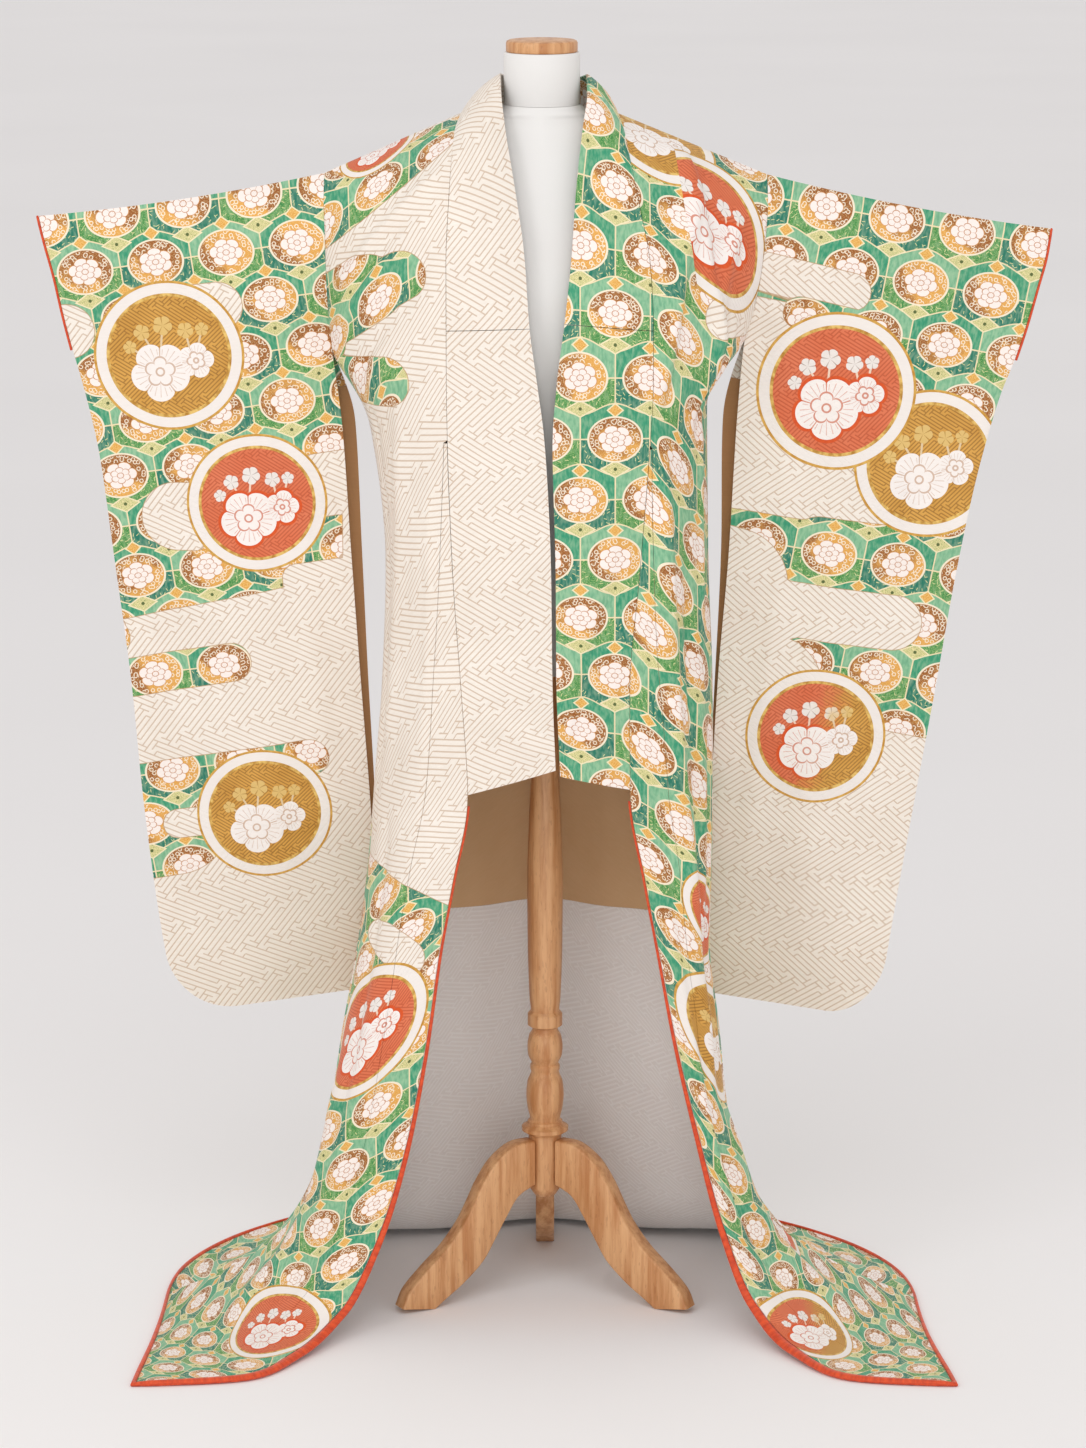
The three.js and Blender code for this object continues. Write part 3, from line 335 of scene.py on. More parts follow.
# ---- the pattern's large layout ----
# Ground colour: each bar is a rounded band, painted over the ones before it.
# Columns: colour x0 z0 x1 z1 radius.
GROUND = {
    ("left", "sleeve"): ("ivory", [
        ("green", -1000, 1081, -100, 1272, 260), ("green", -1000, 1340, -100, 1430, 100),
        ("ivory", -800, 1282, -612, 1290, 35), ("ivory", -470, 1318, -417, 1325, 31),
        ("ivory", -477, 1049, -440, 1049, 45), ("ivory", -330, 1085, -150, 1112, 42),
        ("green", -420, 1005, -289, 1021, 23), ("ivory", -150, 1090, -150, 940, 112),
        ("ivory", -322, 968, -150, 990, 19), ("ivory", -513, 887, -100, 975, 28),
        ("green", -900, 830, -571, 885, 30), ("green", -900, 772, -409, 854, 26),
        ("green", -900, 634, -309, 722, 25), ("green", -900, 575, -490, 632, 72),
        ("ivory", -484, 631, -456, 634, 20),
    ]),
    ("right", "sleeve"): ("green", [
        ("ivory", 200, 1391, 391, 1343, 25), ("ivory", 180, 1225, 300, 1200, 130),
        ("green", 325, 1317, 440, 1290, 21), ("ivory", 100, 1120, 460, 1062, 36),
        ("ivory", 100, 1000, 240, 960, 75), ("green", 355, 1005, 900, 925, 45),
        ("ivory", 100, 960, 454, 906, 37), ("ivory", 100, 860, 290, 820, 72),
        ("ivory", 100, 620, 900, 472, 200), ("ivory", 100, 420, 900, 300, 120),
    ]),
    ("left", "front"): ("ivory", [
        ("green", -90, 1645, -315, 1455, 66), ("green", -300, 1300, -222, 1358, 42),
        ("green", -222, 1350, -180, 1376, 31), ("green", -330, 1290, -280, 1280, 27),
        ("green", -320, 1225, -203, 1240, 32), ("green", -900, 540, 200, 67, 330),
        ("green", -900, 100, 200, 100, 250), ("ivory", -205, 512, -180, 495, 25),
    ]),
    ("right", "front"): ("green", [("ivory", 232, 1322, 262, 1318, 30)]),
    ("left", "collar"): ("ivory", []),
    ("right", "collar"): ("green", []),
    ("left", "back"): ("ivory", [
        ("green", -300, 1400, -60, 1440, 70), ("green", -260, 1180, 60, 1200, 40),
        ("green", -600, 300, 200, 330, 330),
        ("ivory", -190, 520, -120, 526, 30),
    ]),
    ("right", "back"): ("green", [("ivory", 60, 1160, 190, 1140, 50), ("ivory", 120, 760, 240, 740, 40)]),
}
# Discs: x and z of the middle, radius, style (0 gold, 1 vermilion, 0.5 from one to the other), layer.
DISCS = {
    ("left", "sleeve"): [(-482, 1260, 97, 0, 0), (-372, 1068, 91, 1, 0), (-370, 645, 89, 0, 0)],
    ("right", "sleeve"): [(374, 1215, 103, 1, 1), (495, 1118, 97, 0, 0), (355, 753, 92, 0.5, 0)],
    ("left", "front"): [(-217, 1530, 53, 1, 0), (-233, 387, 92, 1, 0), (-356, 19, 96, 1, 0)],
    ("right", "front"): [
        (135, 1543, 88, 0, 0), (205, 1440, 100, 1, 1), (207, 531, 60, 1, 0), (222, 372, 88, 0, 0),
        (347, 19, 94, 0.5, 0), (309, 92, 58, 1, 0),
    ],
    ("left", "collar"): [],
    ("right", "collar"): [],
    ("left", "back"): [
        (-140, 1280, 95, 0, 0), (-120, 860, 95, 1, 0), (-200, 420, 95, 0, 0), (-90, 120, 95, 1, 0)
    ],
    ("right", "back"): [
        (120, 1380, 95, 1, 0), (150, 960, 95, 0, 0), (110, 560, 95, 0.5, 0), (210, 210, 95, 1, 0)
    ],
}
# Where the right front is folded under itself, x at a height z; the over disc stops there.
TUCK_LINE = [(200, 1303), (183, 1417), (163, 1530)]
SHOWN = -0.05  # a tuck distance well clear of the fold
BACK_AWAY = 5000  # keeps the back's discs off the front in one table
SLEEVE_TILT = {"left": math.radians(8.4), "right": math.radians(-10.5)}


def ground_of(chart, x, z):
    """Signed distance in metres, above zero where the ground is green."""
    base, bars = GROUND[chart]
    g = np.full(x.shape, 1000.0 if base == "green" else -1000.0)
    for colour, x0, z0, x1, z1, radius in bars:
        dx, dz = x1 - x0, z1 - z0
        t = np.clip(((x - x0) * dx + (z - z0) * dz) / (dx * dx + dz * dz), 0, 1)
        d = np.hypot(x - x0 - t * dx, z - z0 - t * dz) - radius
        g = np.minimum(g, d) if colour == "ivory" else np.maximum(g, -d)
    return np.clip(g, -50, 50) * MM


# ---- cloth meshes ----
_charts = {}
CHART_ROWS, CHART_SHARES = 190, 40


def running_length(points, axis):
    """Length along a grid of points from its first line, on one axis."""
    steps = np.linalg.norm(np.diff(points, axis=axis), axis=-1)
    return np.concatenate([np.zeros_like(np.take(steps, [0], axis)), steps.cumsum(axis)], axis)


def cloth_chart(side, w, a):
    """Metres along the cloth: across from the centre plane, and down from the shoulder fold."""
    if side not in _charts:
        rows, shares = np.linspace(0, HEM, CHART_ROWS + 1), np.linspace(0, 1, CHART_SHARES + 1)
        faces = []
        for sign in (-1, 1):
            grid = body_base(side, sign * np.maximum(rows, 1e-6)[:, None], shares[None, :])
            across, down = running_length(grid, 1), running_length(grid, 0)
            faces.append((across + np.abs(grid[:, :1, 0]), down))
        _charts[side] = faces
    front, r = w < 0, np.abs(w)
    i, j = np.clip(r / HEM, 0, 0.99999) * CHART_ROWS, np.clip(a, 0, 0.99999) * CHART_SHARES
    i0, j0 = i.astype(int), j.astype(int)
    fi, fj = i - i0, j - j0
    out = []
    for front_table, back_table in zip(*_charts[side]):
        near, far = (
            (1 - fj) * np.where(front, front_table[row, j0], back_table[row, j0])
            + fj * np.where(front, front_table[row, j0 + 1], back_table[row, j0 + 1])
            for row in (i0, i0 + 1)
        )
        out.append((1 - fi) * near + fi * far)
    return out[0] * OUT[side] * MM, -out[1] * MM


def even_rows(surface, start, end, step, a=0.5, keep=()):
    """Row values that step evenly along the cloth."""
    w = np.linspace(start, end, 600)
    line = surface(w, np.full_like(w, a))
    s = running_length(line, 0)
    rows = np.interp(np.linspace(0, s[-1], max(3, int(s[-1] / step) + 1)), s, w)
    for k in keep:
        rows[np.argmin(np.abs(rows - k))] = k
    return rows


def outward(points, faces):
    """Turns the faces of a closed mesh of quads outward."""
    a, b, c, d = (points[faces[:, k]] for k in range(4))
    volume = ((a * np.cross(b, c)).sum() + (a * np.cross(c, d)).sum())
    return faces[:, ::-1] if volume < 0 else faces


class Piece:
    """A thin closed wall over a grid of (row, share) points."""

    def __init__(
        self, name, surface, rows, shares, thickness, face=1, inset=SEAM / 2, shift=0.0, edge_normal=None,
        centre=None, out=1
    ):
        self.name = name
        rows = np.asarray(rows, float)
        W = np.repeat(rows[:, None], len(shares(rows[0])), 1)
        A = np.stack([shares(r) for r in rows])
        P = surface(W, A)
        N = normal_of(surface, W, A) * face
        if edge_normal is not None:
            use, n = edge_normal(W, A)
            N = np.where(use[..., None], n, N)
        centred = centre(W, A) if centre is not None else np.zeros(W.shape, bool)
        flat = unit(N * (0, 1, 1))
        N = np.where(centred[..., None], flat, N)
        Q = P.copy()
        step = lambda a, b: unit(b - a) * inset
        Q[:, 0] += np.where(centred[:, 0, None], 0, step(P[:, 0], P[:, 1]))
        Q[:, -1] += np.where(centred[:, -1, None], 0, step(P[:, -1], P[:, -2]))
        Q[0] += np.where(centred[0][:, None], 0, step(P[0], P[1]))
        Q[-1] += np.where(centred[-1][:, None], 0, step(P[-1], P[-2]))
        Q[..., 0] = np.where(centred, out * inset, Q[..., 0])
        self.W, self.A, self.P = W, A, P
        top, low = Q + N * (thickness / 2 + shift), Q + N * (shift - thickness / 2)
        n, m = W.shape
        K = n * m
        ids = np.arange(K).reshape(n, m)
        a, b, c, d = ids[:-1, :-1], ids[:-1, 1:], ids[1:, 1:], ids[1:, :-1]
        quads = [np.stack([a, b, c, d], -1).reshape(-1, 4), K + np.stack([a, d, c, b], -1).reshape(-1, 4)]
        rim = np.concatenate([ids[0, :], ids[1:, -1], ids[-1, -2::-1], ids[-2:0:-1, 0]])
        nxt = np.roll(rim, -1)
        quads.append(np.stack([rim, rim + K, nxt + K, nxt], -1))
        faces = np.concatenate(quads)
        points = np.concatenate([top.reshape(-1, 3), low.reshape(-1, 3)]) * MM
        faces = outward(points, faces)
        self.faces = faces
        self.mesh = mesh_of(name, points, faces)

    def chart(self, u, v):
        """UV map in cloth metres."""
        layer = self.mesh.uv_layers.new(name="Cloth")
        uv = np.stack([np.tile(u.ravel(), 2), np.tile(v.ravel(), 2)], -1)[self.faces.ravel()]
        layer.data.foreach_set("uv", uv.astype(np.float32).ravel())

    def point_value(self, name, value):
        layer = self.mesh.attributes.new(name, "FLOAT", "POINT")
        layer.data.foreach_set("value", np.tile(value.ravel(), 2).astype(np.float32))

    def discs(self, table, x, z, tuck=None):
        """For each layer, where each face lies in its nearest disc, in radii, and the disc's style.
        tuck is above zero where the over layer is hidden by a fold."""
        self.point_value("Tuck", np.full(self.W.shape, SHOWN) if tuck is None else tuck)
        fx, fz = np.tile(x.ravel(), 2)[self.faces], np.tile(z.ravel(), 2)[self.faces]
        for k, name in enumerate(("Disc", "Disc over")):
            rows = [d for d in table if d[4] == k] or [(9e3, 9e3, 90, 0, k)]
            cx, cz, radius, style = (np.array([d[j] for d in rows], float) for j in range(4))
            far = np.hypot(fx.mean(1)[:, None] - cx, fz.mean(1)[:, None] - cz) / radius
            best = far.argmin(1)
            local = np.stack(
                [
                    (fx - cx[best][:, None]) / radius[best][:, None],
                    (fz - cz[best][:, None]) / radius[best][:, None],
                    np.repeat(style[best][:, None], 4, 1)
                ],
                -1
            )
            layer = self.mesh.attributes.new(name, "FLOAT_VECTOR", "CORNER")
            layer.data.foreach_set("vector", np.clip(local, -20, 20).astype(np.float32).ravel())

    def done(self, node, slot, material, flat, held, rests_on=("torso",), **more):
        o = bpy.data.objects.new(self.name, self.mesh)
        return finish_piece(o, node, slot, material, flat, held, rests_on, **more)


def mesh_of(name, points, faces, sharp=50):
    mesh = bpy.data.meshes.new(name)
    n = len(faces)
    mesh.vertices.add(len(points))
    mesh.vertices.foreach_set("co", np.asarray(points, np.float32).ravel())
    mesh.loops.add(4 * n)
    mesh.loops.foreach_set("vertex_index", np.ascontiguousarray(faces, np.int32).ravel())
    mesh.polygons.add(n)
    mesh.polygons.foreach_set("loop_start", np.arange(0, 4 * n, 4, dtype=np.int32))
    mesh.update(calc_edges=True)
    mesh.validate()
    mesh.shade_smooth()
    mesh.set_sharp_from_angle(angle=math.radians(sharp))
    return mesh


def finish_piece(o, node, slot, material, flat=None, held=None, rests_on=("torso",), **more):
    bpy.context.collection.objects.link(o)
    o.data.materials.append(material)
    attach(o, "root")
    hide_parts(node)
    return o


# ---- shader arithmetic ----
def srgb(code):
    c = [int(code[k:k + 2], 16) / 255 for k in (1, 3, 5)]
    return tuple(x / 12.92 if x <= 0.04045 else ((x + 0.055) / 1.055) ** 2.4 for x in c) + (1.0,)


def link(tree, value, socket):
    """Feeds a socket with a thread, another node's output, a colour code or a constant."""
    value = value.value if isinstance(value, Thread) else value
    value = srgb(value) if isinstance(value, str) else value
    if isinstance(value, (int, float, tuple)):
        socket.default_value = value
    else:
        tree.links.new(value, socket)


class Thread:
    """A number running through a node tree, so that a motif reads as arithmetic."""

    def __init__(self, tree, value):
        self.tree, self.value = tree, value

    def op(self, operation, *others, clamp=False):
        node = self.tree.nodes.new("ShaderNodeMath")
        node.operation, node.use_clamp = operation, clamp
        for k, v in enumerate((self,) + others):
            link(self.tree, v, node.inputs[k])
        return Thread(self.tree, node.outputs[0])

    def __add__(self, o):
        return self.op("ADD", o)

    def __sub__(self, o):
        return self.op("SUBTRACT", o)

    def __mul__(self, o):
        return self.op("MULTIPLY", o)

    def __truediv__(self, o):
        return self.op("DIVIDE", o)

    def __rsub__(self, o):
        return Thread(self.tree, o).op("SUBTRACT", self)

    __radd__, __rmul__ = __add__, __mul__

    def __abs__(self):
        return self.op("ABSOLUTE")

    def floor(self):
        return self.op("FLOOR")

    def odd(self):
        return self.op("FLOORED_MODULO", 2.0)

    def sqrt(self):
        return self.op("SQRT")

    def least(self, o):
        return self.op("MINIMUM", o)

    def most(self, o):
        return self.op("MAXIMUM", o)

    def below(self, o):
        return self.op("LESS_THAN", o)

    def above(self, o):
        return self.op("GREATER_THAN", o)

    def inverse(self):
        return 1.0 - self

    def soft(self, low, high):
        """0 at low, 1 at high."""
        return self.ramp(low, high, 0.0, 1.0)

    def ramp(self, low, high, start, end):
        node = self.tree.nodes.new("ShaderNodeMapRange")
        node.interpolation_type = "SMOOTHSTEP"
        self.tree.links.new(self.value, node.inputs[0])
        for k, v in enumerate((low, high, start, end)):
            node.inputs[k + 1].default_value = v
        return Thread(self.tree, node.outputs[0])


def length(x, y):
    return (x * x + y * y).sqrt()


def parts(tree, vector):
    node = tree.nodes.new("ShaderNodeSeparateXYZ")
    tree.links.new(vector, node.inputs[0])
    return [Thread(tree, node.outputs[k]) for k in range(3)]


def joined(tree, x, y, z=0.0):
    node = tree.nodes.new("ShaderNodeCombineXYZ")
    for k, v in enumerate((x, y, z)):
        link(tree, v, node.inputs[k])
    return node.outputs[0]


def dye(tree, mask, under, over):
    """Lays the colour over on the colour under where the mask is 1."""
    node = tree.nodes.new("ShaderNodeMix")
    node.data_type = "RGBA"
    for k, v in ((0, mask), (6, under), (7, over)):
        link(tree, v, node.inputs[k])
    return node.outputs[2]


def noise(tree, vector, scale, detail=2.0, rough=0.5, stretch=None):
    if stretch:
        m = tree.nodes.new("ShaderNodeMapping")
        m.inputs["Scale"].default_value = stretch
        tree.links.new(vector, m.inputs[0])
        vector = m.outputs[0]
    n = tree.nodes.new("ShaderNodeTexNoise")
    tree.links.new(vector, n.inputs["Vector"])
    for label, v in (("Scale", scale), ("Detail", detail), ("Roughness", rough)):
        n.inputs[label].default_value = v
    return Thread(tree, n.outputs["Fac"])


SOCKETS = {"color": "NodeSocketColor", "number": "NodeSocketFloat", "vector": "NodeSocketVector"}


def effect(name, inputs, outputs, make):
    """A shader node group with named inputs and outputs."""
    tree = bpy.data.node_groups.new(name, "ShaderNodeTree")
    for label, kind, value in inputs:
        s = tree.interface.new_socket(name=label, in_out="INPUT", socket_type=SOCKETS[kind])
        if value is not None:
            s.default_value = value
    for label, kind in outputs:
        tree.interface.new_socket(name=label, in_out="OUTPUT", socket_type=SOCKETS[kind])
    start, end = tree.nodes.new("NodeGroupInput"), tree.nodes.new("NodeGroupOutput")
    given = {}
    for label, kind, _ in inputs:
        given[label] = Thread(tree, start.outputs[label]) if kind == "number" else start.outputs[label]
    for label, result in make(tree, given).items():
        link(tree, result, end.inputs[label])
    return tree


def placed(tree, group, **values):
    """Puts an effect in a tree and gives its outputs by name."""
    node = tree.nodes.new("ShaderNodeGroup")
    node.node_tree = group
    for label, v in values.items():
        link(tree, v, node.inputs[label.replace("_", " ")])
    return {s.name: Thread(tree, s) for s in node.outputs}


# ---- shared effects ----
def make_weave(tree, i):
    u, v, _ = parts(tree, i["Vector"])
    t = i["Thread"]
    rib = (u / t * TURN).op("SINE") * (v / t * TURN).op("SINE")
    slub = noise(tree, i["Vector"], 60.0, 3.0, stretch=(1.0, 8.0, 1.0))
    mottle = noise(tree, i["Vector"], 9.0, 4.0, 0.6)
    return {"Height": rib * 0.3 + slub * 0.7, "Shade": slub * 0.4 + mottle * 0.6}


WEAVE = effect(
    "Silk weave", [("Vector", "vector", None), ("Thread", "number", 0.0012)],
    [("Height", "number"), ("Shade", "number")], make_weave
)


def make_fret(tree, i):
    """Interlocking keys: long bricks of three strips in two directions, hooked at both ends."""
    x, y, _ = parts(tree, i["Vector"])
    brick = i["Strip"] * 3.0
    p, q = (x - y) * 0.7246 / brick, (x * 0.543 + y * 0.871) / brick
    ip, iq = p.floor(), q.floor()
    fp, fq = p - ip, q - iq
    k = (ip - iq).op("FLOORED_MODULO", 8.0)
    across = k.above(3.5)
    t = (k + fp) * across.inverse() + (7.0 - k + fq) * across
    s = fq * across.inverse() + fp * across
    # the second half of a brick is the first one turned half round
    far = t.above(2.0)
    t = (t + far * (4.0 - t - t)) * 3.0
    s = (s + far * (1.0 - s - s)) * 3.0
    w = i["Line"] / i["Strip"]
    d = s.least(3.0 - s).least(t)
    d = d.least(abs(s - 1.0) + t.below(2.0) * 9.0).least(abs(s - 2.0) + t.below(1.0) * 9.0)
    d = d.least(abs(t - 2.0) + s.above(1.0) * 9.0).least(abs(t - 1.0) + s.below(1.0) * 9.0)
    return {"Line": ((w * 0.5 - d) / (w * 0.4) + 0.5).op("MULTIPLY", 1.0, clamp=True)}


FRET = effect(
    "Key fret", [("Vector", "vector", None), ("Strip", "number", 0.0055), ("Line", "number", 0.0011)],
    [("Line", "number")], make_fret
)


def staggered(u, v, sx, py, shift):
    """Local coordinates in a staggered repeat whose middle lies at the shift."""
    y = (v - shift) / py
    r = (y + 0.5).floor()
    x = u / sx - r.odd() * 0.5
    return (x - (x + 0.5).floor()) * sx, (y - r) * py


def make_lattice(tree, i):
    u, v, _ = parts(tree, i["Vector"])
    sx, py, rim = i["Across"], i["Down"], i["Roundel"]
    wave = (u / sx * TURN).op("COSINE") * 0.09
    y = v / py
    r0 = (y + 0.5).floor()
    f = y - r0
    beyond = abs(f).above(0.5 + (1.0 - r0.odd() * 2.0) * wave)
    r = r0 + beyond * f.op("SIGN")
    ly, odd = (y - r) * py, r.odd()
    x = u / sx - odd * 0.5
    c = (x + 0.5).floor()
    lx = (x - c) * sx
    pick = (c + (r * 0.5).floor()).odd()
    white = tree.nodes.new("ShaderNodeTexWhiteNoise")
    white.noise_dimensions = "2D"
    tree.links.new(joined(tree, c, r), white.inputs["Vector"])
    chance = Thread(tree, white.outputs["Value"])
    fine = noise(tree, i["Vector"], 700.0, 1.0)
    streak = noise(tree, i["Vector"], 90.0, 2.0, stretch=(3.0, 1.0, 1.0))
    upper = ly.above(0.0)
    # four dyes of the field, brushed
    top = dye(tree, pick, "#7fbb92", "#349c74")
    low = dye(tree, pick, "#418f42", "#0b7862")
    color = dye(tree, upper, low, top)
    color = dye(tree, streak.soft(0.35, 0.75) * 0.28, color, "#cfe2bd")
    color = dye(tree, streak.soft(0.55, 0.2) * 0.3, color, "#14705a")
    # short dashes in the darker fields
    cells = tree.nodes.new("ShaderNodeTexVoronoi")
    cells.voronoi_dimensions = "2D"
    cells.inputs["Scale"].default_value = 165.0
    tree.links.new(i["Vector"], cells.inputs["Vector"])
    away = tree.nodes.new("ShaderNodeVectorMath")
    away.operation = "SUBTRACT"
    tree.links.new(i["Vector"], away.inputs[0])
    tree.links.new(cells.outputs["Position"], away.inputs[1])
    dx, dy, _ = parts(tree, away.outputs[0])
    cr, cg, _ = parts(tree, cells.outputs["Color"])
    ca, sa = (cr * ANY_TURN).op("COSINE"), (cr * ANY_TURN).op("SINE")
    dash = abs(dx * ca + dy * sa).below(0.0021) * abs(dy * ca - dx * sa).below(0.00045) * cg.above(0.35)
    color = dye(tree, dash * upper.inverse() * 0.85, color, "#e6e3a6")
    color = dye(tree, fine.above(0.58) * upper.inverse() * pick.inverse() * 0.5, color, "#b9d98a")
    # cream lines
    edge = (0.5 + (1.0 - odd * 2.0) * wave) * py - abs(ly)
    lines = abs(edge).least(abs(sx * 0.5 - abs(lx))).least(abs(ly))
    color = dye(tree, lines.below(i["Line"]), color, "#f1dfb4")
    # small diamond above each roundel, speckled one under it
    hx, hy = staggered(u, v, sx, py, rim + 0.0085)
    small = abs(hx) / 0.0098 + abs(hy) / 0.0085
    gx, gy = staggered(u, v, sx, py, (rim + 0.0095) * -1.0)
    speck = abs(gx) / 0.0185 + abs(gy) / 0.0105
    color = dye(tree, speck.below(1.0), color, dye(tree, fine.above(0.5), "#f0e2a8", "#c9c98a"))
    color = dye(tree, speck.below(1.0) * fine.below(0.38), color, "#8a9a55")
    color = dye(tree, (length(gx, gy)).below(0.0022), color, "#5b6b3a")
    color = dye(tree, abs(speck - 1.0).below(0.09), color, "#f3e6bd")
    color = dye(tree, small.below(1.0), color, dye(tree, fine.soft(0.3, 0.7), "#dd9a35", "#f3c878"))
    color = dye(tree, abs(small - 1.0).below(0.13), color, "#f3e6bd")
    # roundel
    rx, ry = sx * 0.385, rim
    ring = length(lx / rx, ly / ry)
    inside = ring.below(1.0)
    lean = lx / rx * (chance - 0.5) * 2.4 + (ly / ry) * (chance * 1.6 - 1.2)
    cloud = noise(tree, i["Vector"], 40.0, 2.0) * 1.6 - 0.6 + (chance - 0.5) * 1.1
    side = (lean + cloud).soft(0.0, 0.55)
    fill = dye(tree, side, "#9c5a20", "#e3a54c")
    fill = dye(tree, fine.above(0.56) * 0.35, fill, "#f6dca2")
    rings = tree.nodes.new("ShaderNodeTexVoronoi")
    rings.voronoi_dimensions = "2D"
    rings.inputs["Scale"].default_value = 150.0
    tree.links.new(i["Vector"], rings.inputs["Vector"])
    curl = abs(Thread(tree, rings.outputs["Distance"]) - 0.33).below(0.085)
    curl = curl * ring.above(0.62) * ring.below(0.93)
    fill = dye(tree, curl * 0.9, fill, "#fbeed8")
    # the flower: six lobes, a second row, a heart
    fy = ly * 1.22
    rho, theta = length(lx, fy), fy.op("ARCTAN2", lx) + chance * ANY_TURN
    lobe = abs((theta * 3.0).op("COSINE")).sqrt()
    lobe2 = abs((theta * 3.0).op("SINE")).sqrt()
    reach, second = 0.0162 + lobe * 0.0055, 0.0088 + lobe2 * 0.0042
    flower = rho.below(reach)
    vein = abs(rho - second).below(0.0007).most(abs(rho - 0.0042).below(0.0006))
    vein = vein.most(abs((theta * 3.0).op("COSINE")).below(0.12) * rho.above(second))
    vein = vein.most(abs((theta * 3.0).op("SINE")).below(0.1) * rho.below(second))
    fill = dye(tree, flower, fill, "#fbf1ea")
    fill = dye(tree, flower * vein * 0.85, fill, "#c68a60")
    fill = dye(tree, abs(rho - reach).below(0.0005), fill, "#d79a5e")
    color = dye(tree, inside, color, fill)
    color = dye(tree, abs(ring - 1.0).below(0.038), color, "#f7ead0")
    gold = inside * side * flower.inverse() * 0.55
    return {"Color": color, "Gold": gold}


LATTICE = effect(
    "Roundel lattice",
    [
        ("Vector", "vector", None), ("Across", "number", 0.091), ("Down", "number", 0.067),
        ("Roundel", "number", 0.0285), ("Line", "number", 0.0009),
    ],
    [("Color", "color"), ("Gold", "number")], make_lattice,
)

# A branch of blossom for the discs: x, y, radius, turn, whether it is a bud.
BLOSSOMS = [
    (-0.12, -0.22, 0.40, 0.3, 0), (0.36, -0.06, 0.24, 1.1, 0), (-0.36, 0.30, 0.11, 0.5, 1),
    (-0.08, 0.40, 0.13, 1.4, 1), (0.22, 0.34, 0.11, 0.2, 1), (0.44, 0.36, 0.09, 0.9, 1),
    (-0.52, 0.10, 0.09, 2.0, 1)
]
TWIGS = [
    (-0.12, -0.1, -0.36, 0.30), (-0.12, -0.1, -0.08, 0.40), (0.3, 0.0, 0.22, 0.34),
    (0.36, 0.0, 0.44, 0.36), (-0.2, -0.1, -0.52, 0.10)
]

# The disc's rings, in radii, and the radius in metres that its silk's weave is scaled by.
FIELD_END, GILT_END, WHITE_END, DISC_RADIUS = 0.79, 0.832, 0.966, 0.095


